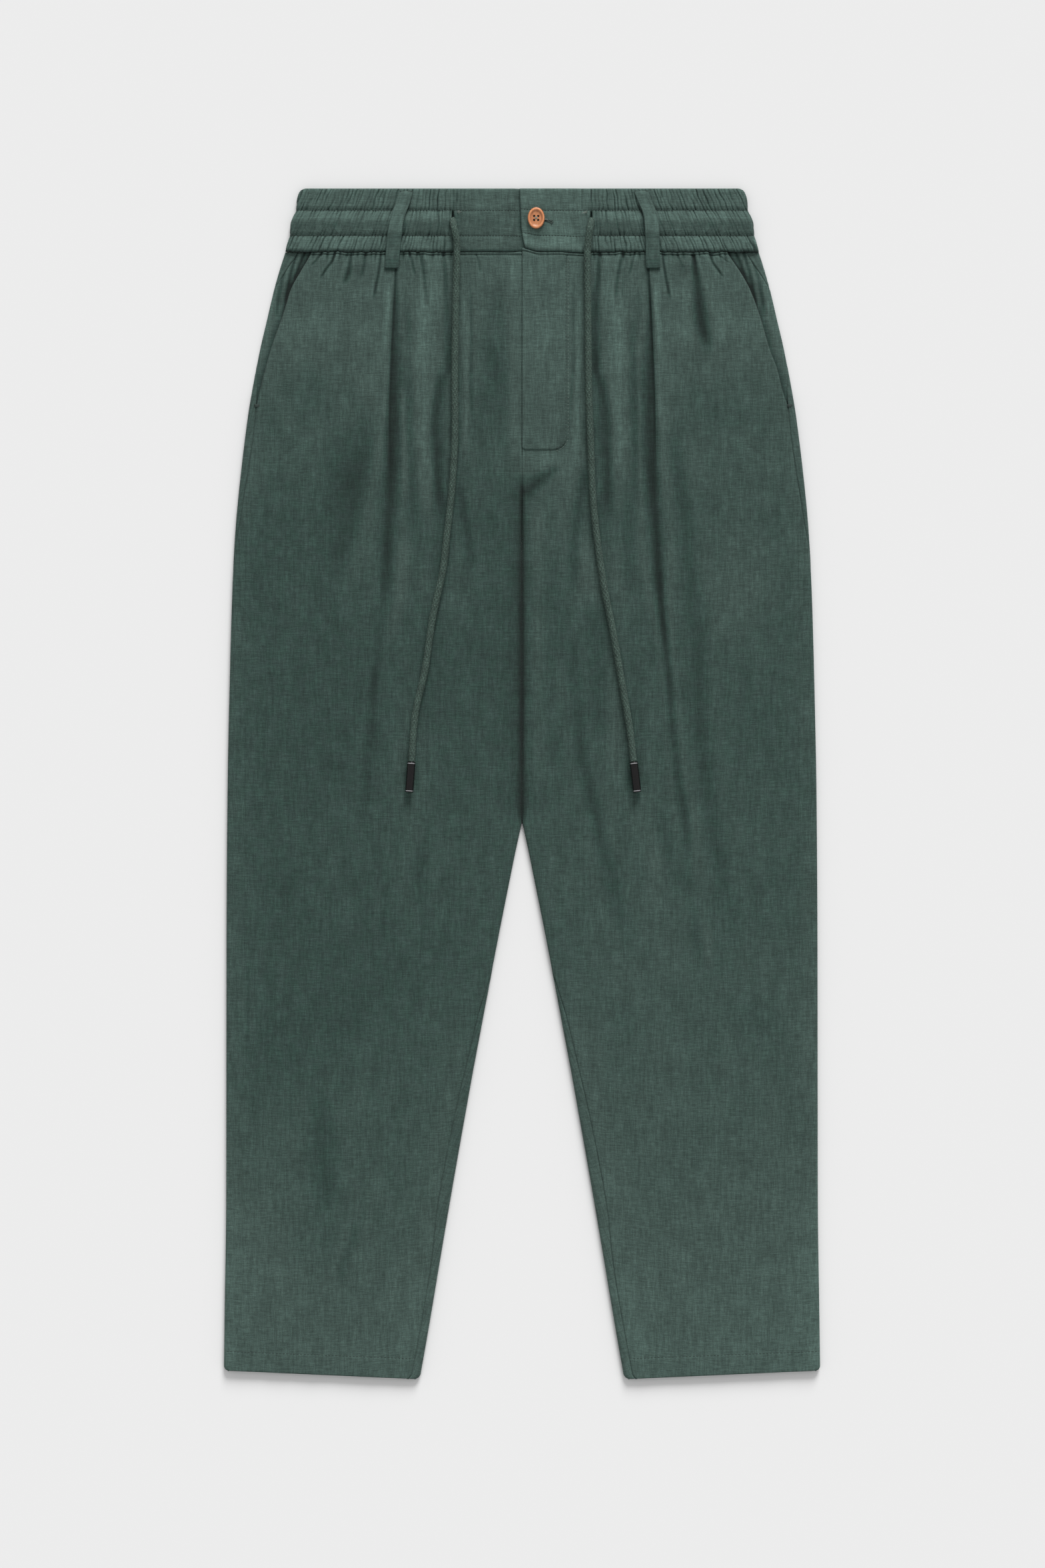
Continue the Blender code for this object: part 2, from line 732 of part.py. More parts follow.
def highest_near(x, drop, across, down):
    """The highest cloth within a small rectangle."""
    places = [(x + i * across / 2, drop + j * down / 2) for i in range(-2, 3) for j in range(-2, 3)]
    return max(cloth_top(*place) for place in places)


def fly_placket():
    """The placket on the left front: straight down its edge, with a rounded outer corner at its foot."""
    turn = np.radians(np.linspace(0, 90, 5))
    outer, inner = [], []
    for drop in (*FLY_ROWS, *(FLY_FOOT - FLY_CORNER * (1 - np.sin(turn)))):
        over = max(drop - (FLY_FOOT - FLY_CORNER), 0)
        width = FLY_WIDTH - FLY_CORNER + math.sqrt(max(FLY_CORNER**2 - over**2, 0))
        grid = [], []
        for out in np.linspace(FLY_EDGE, width, 8):
            start = highest_near(out, max(drop, FLY_ROWS[1]), 6, 6) + SEAM_GAP
            grid[0].append(world(LEFT, out, drop, start + FLY_WALL))
            grid[1].append(world(LEFT, out, drop, start))
        outer.append(grid[0])
        inner.append(grid[1])
    sheet("fly_placket", outer, inner)


def belt_loop(side):
    """A folded strip from the waistband's top edge to just below the waist seam."""
    column = 1 if side == RIGHT else 2
    outer, inner = [], []
    for drop in LOOP_ROWS:
        middle = along(LOOP_LINE, drop, column)
        seat = highest_near(middle, drop, LOOP_WIDTH / 2, 6) + SEAM_GAP
        share = (drop - LOOP_DROPS[0]) / (LOOP_DROPS[1] - LOOP_DROPS[0])
        bow = LOOP_STANDOFF * math.sin(math.pi * share) ** 2
        turned = eased(LOOP_DROPS[1] - LOOP_HEM, LOOP_DROPS[1] - LOOP_HEM + 1, drop)
        thick = LOOP_WALL * (1 + LOOP_HEM_SHARE * turned)
        grid = [], []
        for offset in (-0.5, -0.42, 0.0, 0.42, 0.5):
            x = middle + offset * LOOP_WIDTH
            rounded = 0.25 if abs(offset) == 0.5 else 0.0
            grid[0].append(world(1, x, drop, seat + bow + thick - rounded))
            grid[1].append(world(1, x, drop, seat + bow))
        outer.append(grid[0])
        inner.append(grid[1])
    sheet(f"belt_loop_{SIDE_NAMES[side]}", outer, inner)


def spun(name, profile, material, steps):
    """A solid turned about its own Z axis from (radius, height) points, closed on the axis."""
    bm = bmesh.new()
    points = [bm.verts.new((radius * MM, 0, height * MM)) for radius, height in profile]
    for here, there in zip(points, points[1:]):
        bm.edges.new((here, there))
    bmesh.ops.spin(
        bm,
        geom=bm.verts[:] + bm.edges[:],
        cent=(0, 0, 0),
        axis=(0, 0, 1),
        angle=2 * math.pi,
        steps=steps,
        use_merge=True,
    )
    bmesh.ops.remove_doubles(bm, verts=bm.verts, dist=1e-6)
    bmesh.ops.recalc_face_normals(bm, faces=bm.faces)
    return placed_mesh(name, bm, material)


def button():
    """A four-hole button with a raised rim, oval as it lies."""
    radius = BUTTON_SIZE[1] / 2
    profile = [(0.0, 2.0)]
    profile += [(share * radius, height) for share, height in BUTTON_PROFILE]
    profile += [(0.0, 0.0)]
    disc = spun("button", profile, "corozo", 28)
    disc.data.transform(
        ((BUTTON_SIZE[0] / BUTTON_SIZE[1], 0, 0, 0), (0, 1, 0, 0), (0, 0, 1, 0), (0, 0, 0, 1))
    )
    x, drop = BUTTON_PLACE
    seat = highest_near(x, drop, BUTTON_SIZE[0] / 2, BUTTON_SIZE[1] / 2) + SEAM_GAP
    disc.location = world(1, x, drop, seat)
    for index, (right, up) in enumerate(((-1, -1), (-1, 1), (1, -1), (1, 1))):
        bpy.ops.mesh.primitive_cylinder_add(
            vertices=10, radius=BUTTON_HOLE_RADIUS * MM, depth=4 * BUTTON_THICKNESS * MM
        )
        drill = bpy.context.object
        drill.name = f"drill_{index}"
        drill.location = disc.location + Vector(
            (right * BUTTON_HOLES[0] * MM, up * BUTTON_HOLES[1] * MM, 0)
        )
        drill.hide_render = True
        drill.display_type = "WIRE"
        for holder in list(drill.users_collection):
            holder.objects.unlink(drill)
        bpy.data.collections["cutters"].objects.link(drill)
        cut = disc.modifiers.new(f"hole_{index}", "BOOLEAN")
        cut.operation = "DIFFERENCE"
        cut.object = drill


def smooth_route(points, spacing):
    """Points this far apart on a Catmull-Rom curve through the given ones."""
    ends = [2 * points[0] - points[1], *points, 2 * points[-1] - points[-2]]
    fine = []
    for a, b, c, d in zip(ends, ends[1:], ends[2:], ends[3:]):
        for t in np.linspace(0, 1, 24, endpoint=False):
            bend = (2 * a - 5 * b + 4 * c - d) * t**2 + (3 * b - a - 3 * c + d) * t**3
            fine.append(0.5 * (2 * b + (c - a) * t + bend))
    fine.append(points[-1])
    fine = np.array(fine)
    travelled = np.concatenate([[0], np.cumsum(np.linalg.norm(np.diff(fine, axis=0), axis=1))])
    stops = np.linspace(0, travelled[-1], round(travelled[-1] / spacing) + 1)
    return np.stack([np.interp(stops, travelled, fine[:, k]) for k in range(3)], axis=1)


def cord_heights(route):
    """Height of the cord's middle over each point: out of its slot, over the band, down the front."""
    radius = CORD_DIAMETER / 2
    heights = [highest_near(x, drop, *CORD_SEAT) + SEAM_GAP + radius for x, drop in route]
    heights[0] = WAIST_BAND_WALL + SEAM_GAP + radius
    heights[-1] += AGLET_RADIUS - radius
    return heights


def drawstring(side):
    """A drawstring tube, and the aglet that ends it."""
    route = CORD_ROUTES[side]
    heights = cord_heights(route)
    knots = [np.array((x, LENGTH / 2 - drop, z)) for (x, drop), z in zip(route, heights)]
    path = smooth_route(knots, CORD_SPACING)
    name = f"drawstring_{SIDE_NAMES[side]}"
    data = bpy.data.curves.new(name, "CURVE")
    data.dimensions = "3D"
    data.bevel_depth = CORD_DIAMETER / 2 * MM
    data.bevel_resolution = 2
    data.use_fill_caps = True
    data.materials.append(finish("cotton braid"))
    line = data.splines.new("POLY")
    line.points.add(len(path) - 1)
    for point, place in zip(line.points, path):
        point.co = (*(place * MM), 1)
    tube = bpy.data.objects.new(name, data)
    bpy.data.collections["linen_trousers"].objects.link(tube)

    heading = Vector(path[-1] - path[-2]).normalized()
    heading.z = 0
    heading.normalize()
    profile = [(0.0, 0.0)]
    profile += [(wide * AGLET_RADIUS, long * AGLET_LENGTH) for long, wide in AGLET_PROFILE]
    profile += [(0.0, AGLET_LENGTH)]
    tip = spun(f"aglet_{SIDE_NAMES[side]}", profile, "black lacquered metal", 16)
    tip.rotation_euler = heading.to_track_quat("Z", "Y").to_euler()
    tip.location = (Vector(path[-1]) + heading * 1.5 * SEAM_GAP) * MM


def main():
    clear_scene()
    for name in ("linen_trousers", "cutters"):
        group = bpy.data.collections.new(name)
        bpy.context.scene.collection.children.link(group)
    for side in (RIGHT, LEFT):
        front_panel(side)
        back_panel(side)
        pocket_facing(side)
        elastic_band(side)
        plain_band(side)
        belt_loop(side)
        drawstring(side)
    fly_placket()
    button()


main()
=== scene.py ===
"""Linen drawstring trousers, laid flat with the front up: the dressed model.

World frame in metres: +X is the wearer's left, +Y runs from the hems to the waist and +Z is up. Sizes
and tables here are in millimetres. "drop" is the distance down from the waistband's top edge, and
"out" is the distance from the centre line towards the side seam.

Each leg is a flattened tube. Its skin is followed by the distance s from the outermost line of a
rounded edge: s > 0 runs over the edge onto the front, and s < 0 runs under it onto the back.
"""

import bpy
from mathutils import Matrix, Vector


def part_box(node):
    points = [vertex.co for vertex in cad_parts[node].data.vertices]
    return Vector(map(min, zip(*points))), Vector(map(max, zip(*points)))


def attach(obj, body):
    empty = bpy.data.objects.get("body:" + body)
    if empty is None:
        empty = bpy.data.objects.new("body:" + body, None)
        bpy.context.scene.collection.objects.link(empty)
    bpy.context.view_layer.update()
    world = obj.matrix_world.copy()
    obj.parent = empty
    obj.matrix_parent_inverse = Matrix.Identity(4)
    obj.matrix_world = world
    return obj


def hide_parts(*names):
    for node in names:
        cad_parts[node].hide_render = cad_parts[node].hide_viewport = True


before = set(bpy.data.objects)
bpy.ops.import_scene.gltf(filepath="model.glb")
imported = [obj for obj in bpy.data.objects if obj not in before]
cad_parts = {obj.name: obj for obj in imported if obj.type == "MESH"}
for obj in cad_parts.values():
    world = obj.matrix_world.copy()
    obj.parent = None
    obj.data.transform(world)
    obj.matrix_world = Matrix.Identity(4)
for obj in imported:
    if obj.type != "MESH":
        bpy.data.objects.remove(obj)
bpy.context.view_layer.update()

import math

import bpy
import numpy as np
from bpy.props import FloatProperty, FloatVectorProperty, PointerProperty
from mathutils import Vector

bl_info = {
    "name": "Linen drawstring trousers",
    "version": (1, 0, 0),
    "blender": (4, 5, 0),
    "location": "3D View > Sidebar > Trousers",
    "description": "Dresses the packed frame of linen drawstring trousers, laid flat",
    "category": "Add Mesh",
}

MM = 0.001
RIGHT, LEFT = -1, 1
SIDE_NAMES = {RIGHT: "right", LEFT: "left"}

# Column of a table that has one for each side
SIDE_COLUMN = {RIGHT: 1, LEFT: 2}

# The legs. A level is the height of a face above the floor, and a reach is how far in an edge is
# rounded. QUARTER is the length of skin round a quarter turn, and easings are spans of a smooth step
LENGTH = 1020.0
SEAM_GAP = 0.08
FRONT_LEVEL = 4.8
POCKET_LEVEL = 2.7
SIDE_REACH = 3.0
CROTCH_REACH = 9.0
CROTCH_DROPS = (560.0, 660.0)
FRONT_GROOVE_DROPS = (248.0, 318.0)
BACK_GROOVE_DROPS = (284.0, 318.0)
QUARTER = 4.0
HEM_DEPTH = 18.0
HEM_STEP = 0.3
HEM_STITCH = 1002.3
HEM_PITCH = 3.0
HEM_CORNER = 4.0
HEM_SLANT = 7.3
HEM_SLANT_DROP = 900.0
HEM_OUTS = (92.0, 256.0)

# The waistband. The wearer's left end laps over the right one, and a cord comes out of each slot
WAIST_DROP = 55.4
BAND_LEVEL = 5.2
CENTRE_SEAM = 59.2
UNDERLAP_LEVEL = 3.5
UNDERLAP_END = 28.0
OVERLAP_LEVEL = 5.7
UNDERLAP_STEP = (-9.0, -1.6)
OVERLAP_STEP = (30.0, 50.0)
OVERLAP_CORNER = 3.4
OVERLAP_CORNER_SPAN = (-0.7, 16.0)
PLAIN_PUFF = 0.3
SLOT_PUFF = 0.35
SLOT_EASING = (0.0, 12.0)
SLOT_MIDDLE = 26.6
SLOT_HALF_HEIGHT = 7.2
SLOT_OUTWARDS = 1.1
SLOT_INWARDS = 0.8
STITCH_ROWS = (18.7, 40.4)
BAND_FRONT_COLUMNS = 310
BAND_SIDE_COLUMNS = 16
BAND_BACK_COLUMNS = 140

# The pockets and the fly
POCKET_FOOT = 185.5
FACING_OVERLAP = 14.0
FACING_FOOT = 196.0
FACING_EASING = (169.0, 185.5)
FLY_EDGE = 0.0
FLY_WIDTH = 38.6
FLY_FOOT = 224.0
FLY_CORNER = 12.0
FLY_INNER_CORNER = 3.0
FLY_LIFT = 0.95

# The belt loops, the button and the drawstrings
LOOP_WIDTH = 12.2
LOOP_WALL = 1.2
LOOP_START = 2.6
LOOP_END = 68.6
LOOP_TURN = 62.6
BUTTON_SIZE = (14.6, 18.6)
BUTTON_PLACE = (12.1, 25.8)
BUTTON_HOLES = (1.7, 1.65)
BUTTON_HOLE_RADIUS = 1.0
# How dark the holes' walls and the button's side are painted, as painted shade
HOLE_LIGHT = 0.7
BUTTON_EDGE_LIGHT = 0.62
BUTTONHOLE_START = 19.0
BUTTONHOLE_END = 25.2
CORD_DIAMETER = 5.6
CORD_CLEARANCE = 0.2
CORD_SPACING = 0.9
BRAID_STRANDS = 6
BRAID_REPEAT = 5.2
AGLET_LENGTH = 26.0
AGLET_RADIUS = 3.85
AGLET_OVERLAP = 0.35
AGLET_RIM = 0.985
THREAD_TIP = 0.45

# The paper lies just under the trousers. Places are in metres and the window's width is in degrees
FLOOR_LEVEL = -0.0003
FLOOR_SIZE = 40.0
CAMERA_PLACE = (0.0004, -0.0002, 3.7356)
SKY_STRENGTH = 0.57
WINDOW_ENERGY = 3.35
WINDOW_WIDTH = 26
WINDOW_DIRECTION = (0.14, 0.82, 0.38)

# Outline of the whole garment. Columns: drop, half width
OUTLINE = (
    (0, 187.3), (2, 190.1), (6, 192.2), (11, 193.1), (18.7, 193.6), (24, 196.2), (30.5, 198.4),
    (40.4, 199.1), (46, 200.9), (55.4, 203.4), (69.4, 207.8), (90, 213.6), (113, 219), (136, 224.4),
    (158, 228.7), (193, 234.7), (238, 240.4), (290, 245.5), (341, 248.4), (418, 250.7), (521, 252.7),
    (638, 253.5), (866, 253.8), (958, 255), (1020, 255.8),
)

# Inner edge of a leg. Columns: drop, distance from the centre line
INNER_EDGE = (
    (0, 0.1), (543, 0.1), (544.5, 0.3), (547.5, 0.9), (551, 1.65), (569.6, 5.7), (592.4, 10.3),
    (638, 19.4), (752, 41.1), (866, 61.4), (980, 80.5), (1020, 87.6),
)

# How far the back panel wraps over the side edge onto the front. Columns: drop, wrap
SIDE_WRAP = (
    (0, 12), (55.4, 10.4), (72, 5.2), (90, 0), (150, 0), (168, 3.4), (185.5, 5.7), (215, 6.9),
    (238, 6.3), (268, 4.6), (290, 2.9), (312, 0.4), (330, 0), (1020, 0),
)

# The same over the inner edge of each leg. Columns: drop, wrap
INSEAM_WRAP = (
    (0, 0), (668, 0), (707, 4.6), (752, 6.9), (809, 9.4), (866, 10.2), (918, 7.4), (946, 6.9),
    (1020, 7.8),
)

# Edge of the slant pocket. Columns: drop, out on the right, out on the left
POCKET_EDGE = (
    (0, 160, 156), (55.4, 181, 176.5), (70.5, 189.5, 186.5), (86, 198, 195.2), (108, 204.9, 203.5),
    (138, 215.4, 212.4), (155, 220.2, 218.9), (174, 225, 223.6), (185.5, 227.8, 227.6),
)

# Fold edge of the pleat below each belt loop, and the height of its step. Columns: drop, out, height
PLEAT = (
    (55.4, 108.2, 0.9), (70.5, 109.1, 1.4), (103, 110.8, 1.3), (140, 112.5, 1.1), (192, 114.2, 0.9),
    (258, 114.8, 0.7), (310, 117.6, 0.5), (359, 121, 0.25), (410, 125, 0), (543, 132, 0), (700, 145, 0),
    (1020, 172, 0),
)

# Folds and creases of the fronts. Each row: rise, how much lighter the cloth is painted there (painted shade
# in a trough, painted light on a ridge), and then the places that the fold runs through from the top down, as
# drop, out and spread
CREASES = {
    RIGHT: (
        (-0.8, -0.51, (54, 120.8, 1.08), (70, 122.6, 1.15), (85, 125.4, 1.22), (98, 128, 1.3)),
        (-0.9, -0.37, (66, 106.5, 1.5), (85, 108.6, 1.8), (110, 109.6, 3.4), (140, 110.3, 5),
         (180, 110.3, 6.4), (220, 111, 6.2), (260, 112.6, 6), (300, 114.6, 6), (345, 117, 5.4),
         (385, 120, 4.4)),
        (-0.3, -0.12, (360, 120, 4.2), (410, 125.5, 3.6), (450, 128, 3.6), (500, 133, 4.2),
         (560, 137, 4.2)),
        (-0.3, -0.12, (95, 98.5, 3.1), (130, 96.5, 3.4), (200, 95.5, 3.4), (250, 95, 3.6),
         (310, 92.5, 4.2)),
        (-0.2, -0.09, (80, 103.5, 5.6), (120, 103.5, 5.6), (170, 103, 4.9)),
        (0.3, 0.15, (165, 103.2, 2), (230, 100.8, 2.2), (275, 99, 2.5)),
        (0.5, 0.15, (58, 73, 4), (85, 79, 6), (140, 87, 6), (180, 86, 6.5), (230, 83, 6.5), (310, 78, 6)),
        (-0.9, -0.24, (54, 67.8, 1.8), (75, 65.6, 2.1), (100, 64.8, 3.4), (140, 63.2, 3.9), (170, 64, 4.2)),
        (-0.8, -0.29, (150, 66, 3.5), (185, 73, 4.2), (205, 74.4, 4.5), (225, 73.4, 4.5), (250, 72, 4.2),
         (295, 68.5, 4.2)),
        (-0.3, -0.14, (80, 44.5, 1.3), (120, 43.6, 1.3), (160, 44, 1.4), (210, 41.5, 1.5)),
        (0.3, 0.15, (85, 49.6, 2.2), (150, 48, 2.4), (240, 49, 2.6)),
        (0.3, 0.13, (58, 8, 5), (120, 7, 4.5), (200, 7, 4.5), (260, 6, 4)),
        (0.3, 0.19, (72, 113, 3.4), (120, 115, 2.8), (180, 117, 2.4), (215, 119.5, 2.6)),
        (-0.6, -0.06, (180, 130, 9), (230, 137, 13), (262, 144, 15), (300, 152, 14), (360, 165, 12)),
        (0.5, 0.11, (205, 121, 3.5), (235, 125, 5), (265, 132, 6), (300, 139, 7), (350, 146, 8)),
        (-0.6, -0.17, (250, 56, 3.5), (270, 52, 4.5), (300, 46.5, 4.2), (335, 42.5, 4.2)),
        (0.4, 0.13, (300, 101, 6), (345, 103.5, 6), (390, 113, 6)),
        (-0.6, -0.32, (54, 97.2, 0.94), (62, 94.4, 1.01), (76, 91.5, 1.15)),
        (-0.8, -0.41, (54, 88.8, 1.73), (60, 86.6, 1.58), (75, 83.6, 1.73), (104, 81, 1.87)),
        (-0.5, -0.22, (60, 83.5, 0.94), (72, 81, 1.08), (88, 78.6, 1.15)),
        (-0.5, -0.22, (56, 39.5, 1.01), (64, 37, 1.3), (74, 35.6, 1.44)),
        (-0.5, -0.27, (54, 133, 1.08), (64, 135, 1.3), (78, 138, 1.44)),
        (-0.9, -0.41, (54, 146.2, 1.15), (64, 147.6, 1.44), (72, 149, 2.16), (84, 153, 2.3)),
        (-0.8, -0.49, (54, 159.2, 1.01), (62, 162.6, 1.15), (69, 167.6, 1.22), (79, 174, 1.15)),
        (-0.6, -0.35, (55, 171.5, 1.01), (60, 175.2, 1.15), (67, 181, 1.15)),
        (-0.4, -0.1, (560, 88, 5.6), (590, 88, 5.6), (620, 86, 5.6)),
        (-0.3, -0.08, (600, 117, 3), (650, 119, 3)),
        (-0.4, -0.11, (770, 172, 8.4), (830, 170, 8.4), (890, 166, 7)),
        (-0.4, -0.11, (875, 134, 2.3), (905, 147, 3.4), (945, 159, 3.6)),
        (-0.3, -0.08, (665, 235, 1.6), (700, 235, 1.6), (745, 236, 1.6)),
    ),
    LEFT: (
        (-0.6, -0.3, (236, 33, 5), (250, 15, 6), (266, 0, 5)),
        (-0.8, -0.51, (54, 119.8, 1.08), (64, 121.2, 1.08), (80, 123.8, 1.22), (98, 127.6, 1.3)),
        (-0.9, -0.39, (66, 107.6, 1.5), (90, 109.6, 1.8), (115, 110.6, 3.1), (140, 110.6, 4.8),
         (180, 109.6, 6.2), (220, 110, 6.2), (260, 112, 6), (300, 114.8, 5.6), (340, 117.4, 4.4),
         (370, 120.2, 3.2), (420, 125.8, 2.4)),
        (-0.5, -0.22, (350, 119, 3.4), (410, 125, 2.8), (450, 128, 2.8), (500, 133, 3.2), (545, 140, 3.9),
         (600, 143, 4.2)),
        (-0.3, -0.13, (105, 93.5, 4.2), (160, 94.8, 4.2), (200, 95.6, 3.6), (245, 97, 3.4),
         (300, 97.5, 4.2)),
        (-0.2, -0.1, (85, 101.5, 5.6), (120, 101.5, 6.3), (170, 102, 5.6)),
        (0.3, 0.11, (125, 99.2, 1.6), (200, 100.5, 1.8), (275, 100.5, 2)),
        (0.5, 0.15, (58, 73, 4), (90, 76, 5), (140, 82, 6), (190, 83, 6.5), (260, 82, 6)),
        (-0.9, -0.37, (54, 65.6, 1.8), (75, 65.2, 2.1), (95, 63, 3.4), (150, 62.6, 3.9), (176, 65, 4.2)),
        (-0.8, -0.28, (155, 66, 3.6), (180, 70, 4.2), (205, 72.2, 4.5), (240, 73.2, 4.2), (295, 71, 4.2)),
        (-0.5, -0.2, (72, 44.2, 1.2), (100, 44.2, 1.4), (145, 44.6, 1.5), (175, 42.6, 1.4),
         (205, 40.8, 1.4)),
        (0.3, 0.15, (85, 48.4, 2), (180, 47, 2.2), (250, 46, 3)),
        (-0.7, -0.2, (235, 54, 3.6), (255, 52, 4.8), (272, 48.4, 4.8), (295, 46, 4.2), (355, 44, 4.8)),
        (0.3, 0.19, (72, 114.6, 3.4), (120, 115.6, 3), (180, 117, 2.6), (215, 121, 3)),
        (-0.3, -0.16, (56, 132.6, 1.15), (70, 139, 1.44)),
        (-1.4, -0.5, (56, 146.4, 1.6), (75, 149.4, 3.2), (95, 151.8, 5.4), (115, 154, 6.2),
         (128, 157.5, 5.6), (146, 161, 4.4)),
        (-0.8, -0.49, (54, 160.2, 1.01), (62, 163, 1.15), (69, 167.4, 1.22), (78, 173.4, 1.08)),
        (-0.4, -0.27, (57, 168, 0.94), (61, 173, 1.15), (65, 180, 1.08)),
        (-0.6, -0.32, (54, 97, 0.94), (62, 94.6, 1.01), (76, 91.6, 1.15)),
        (-0.8, -0.38, (54, 88, 1.58), (64, 84.4, 1.44), (80, 81.4, 1.44), (100, 80.2, 1.44)),
        (-0.4, -0.19, (68, 87, 1.08), (80, 86.4, 1.08), (97, 85, 1.15)),
        (-0.5, -0.22, (57, 38.5, 1.01), (64, 36.6, 1.44), (72, 32, 1.44)),
        (-0.4, -0.16, (56, 22, 1.01), (74, 22.4, 1.01)),
        (-0.5, -0.13, (195, 126, 5.6), (235, 131.5, 5.6), (275, 139.5, 5.6), (320, 142, 6.3),
         (360, 148.5, 7), (400, 150, 7.7), (460, 152.5, 7), (500, 157, 7), (540, 163, 7), (580, 169, 7),
         (660, 184, 7)),
        (-0.2, -0.07, (195, 131, 7), (225, 131, 8.4), (260, 137, 7)),
        (-0.5, -0.16, (380, 41, 5.6), (440, 47, 5.6), (475, 49.5, 5), (510, 56.5, 5), (545, 64.5, 5.6),
         (590, 76, 6.3), (655, 93, 7)),
        (-0.3, -0.1, (262, 92.5, 4.2), (300, 92, 5), (350, 87, 5.6)),
        (0.3, 0.11, (255, 12, 8), (320, 12, 8), (420, 12, 8), (540, 14, 8)),
        (-0.4, -0.09, (615, 149, 3), (634, 148, 3.4), (655, 147, 3)),
        (0.3, 0.13, (630, 159, 4), (650, 160, 4), (672, 158, 4)),
        (-0.3, -0.1, (530, 116, 7), (570, 128, 8.4), (605, 139, 7)),
        (-0.3, -0.09, (320, 60, 5.6), (400, 62, 8.4), (490, 66, 8.4)),
    ),
}

# A crease that starts at the waist seam doesn't fade in. The others fade in and out by these shares of
# their length
CREASE_SEWN_DROP = WAIST_DROP + 3
CREASE_FADE_IN = 0.12
CREASE_FADE_OUT = 0.76
# How strongly creases are painted: the gain and limits of their painted light and shade, and the painted
# highlight on each flank and how far out it lies
CREASE_LIGHT = 1.8
CREASE_CHANGES = (-0.95, 0.4)
CREASE_FLANK = 0.22
CREASE_FLANK_PLACE = 2.3

# The fronts between the creases. The small gathers leave the plain centre out
SMALL_GATHER_PITCH = 5.6
SMALL_GATHER_DEPTH = 0.7
PLAIN_CENTRE = (50, 62)
# The darkest that the painted shade makes the fronts
DARKEST = 0.28

# Limits of a crease's height, and the spans over which creases ease out at the centre and the side
MOST_RISE = 1.4
MOST_SINK = -1.6
CENTRE_EASING = (2.0, 10.0)
SIDE_EASING = (0.0, 12.0)

# How far the pleat's step spreads behind and before its edge, how deep it sinks, and where it softens
PLEAT_BACK = 17.0
PLEAT_FRONT = 9.0
PLEAT_SINK = 0.45
PLEAT_SOFTENS = (205.0, 275.0)

# Soft creases pressed into the backs, in the same way. The rise is how far they hollow
BACK_CREASES = {
    RIGHT: (
        (0.9, -0.08, (60, 70, 6), (240, 62, 6)),
        (1.0, -0.1, (58, 118, 5), (190, 128, 5)),
        (0.8, -0.08, (58, 160, 5), (150, 178, 5)),
        (0.8, -0.06, (330, 40, 9), (370, 74, 9), (420, 120, 9)),
        (0.7, -0.06, (560, 130, 10), (700, 190, 10)),
        (0.7, -0.06, (640, 210, 9), (820, 150, 9)),
    ),
    LEFT: (
        (0.9, -0.08, (60, 64, 6), (220, 58, 6)),
        (1.0, -0.1, (58, 112, 5), (210, 120, 5)),
        (0.8, -0.08, (58, 164, 5), (160, 180, 5)),
        (0.8, -0.06, (320, 36, 9), (370, 76, 9), (440, 130, 9)),
        (0.7, -0.06, (600, 120, 10), (720, 200, 10)),
        (0.7, -0.06, (700, 200, 9), (900, 140, 9)),
    ),
}

# Soft diagonal creases of the pocket facings, in the same way
FACING_CREASES = (
    (-0.6, -0.4, (54, 186, 1.2), (66, 191, 1.5), (80, 196, 1.5)),
    (-0.7, -0.45, (54, 193, 1.3), (76, 199, 1.7), (102, 204, 1.9)),
    (-0.6, -0.34, (54, 199, 1.3), (84, 207, 1.7), (112, 212, 1.8)),
    (-0.5, -0.12, (80, 204, 2.4), (140, 217, 2.6)),
)

# Puffed rows of the waistband, between two lines of stitches. Columns: drop, rise
BAND_ROWS = (
    (0, 0), (3, 0.1), (15.6, 0.15), (18.7, -0.65), (22, 0.7), (29.5, 1.2), (37.2, 0.7), (40.4, -0.65),
    (43.4, 0), (51.6, 0.1), (55.4, 0),
)

# Free edge of the waistband's overlap. Columns: drop, x
OVERLAP_EDGE = ((0, -2.1), (20, -1.3), (37, -0.5), (45, 0.6), (52.5, 2.1), (55.4, 2.6))

# Painted light of the waistband's rows: paler on the puffed rows, darker at the stitches and the seam.
# Columns: drop, gathered, plain on the right, plain on the left
BAND_LIGHT = (
    (0, 1.58, 1.5, 1.62), (11, 1.54, 1.36, 1.58), (15, 1.48, 1.38, 1.62), (18.7, 1.4, 1.4, 1.75),
    (20.4, 1.5, 1.24, 1.55), (24.5, 1.9, 1.18, 1.48), (28, 1.4, 1.18, 1.55), (31, 1.14, 1.2, 1.62),
    (37, 1.36, 1.3, 1.85), (40.4, 1.5, 1.42, 2.1), (42.6, 1.72, 1.34, 1.95), (48, 1.8, 1.3, 2.1),
    (50.8, 1.65, 1.25, 1.7), (52.4, 1.15, 1.1, 1.3), (53.6, 0.6, 0.7, 0.7), (54.5, 0.5, 0.5, 0.5),
)

# Rounded top and bottom edges of the waistband. Columns: drop, how far it sinks in
BAND_TOP_TURN = ((3.0, 2.6), (1.2, 2.5), (0.35, 2.1), (0.0, 1.4), (0.15, 0.8), (0.6, 0.35), (1.3, 0.1))
BAND_FOOT_TURN = ((53.6, 0.12), (54.0, 0.3), (54.35, 0.65), (54.5, 1.1), (54.1, 1.6), (52.5, 1.8))

# Rolled seam allowance that shows as a thin ridge below the waistband. Columns: drop, rise
PIPING = (
    (51.5, -1.9), (53.6, -1.7), (54.5, -1.1), (54.9, -0.2), (55.4, 0.15), (55.9, -0.1), (56.4, -0.55),
    (56.8, -0.7), (57.3, -0.4), (58.2, -0.15), (60, 0),
)
PIPING_START = 54.2
PIPING_TOP = 55.4
PIPING_FOOT = 56.8

# Lean of the gathers, as travel outwards for each unit of drop. Columns: distance along, lean
GATHER_LEAN = ((-12, 0), (0, 0.04), (18, 0.1), (45, 0.3), (90, 0.42), (135, 0.48), (190, 0))

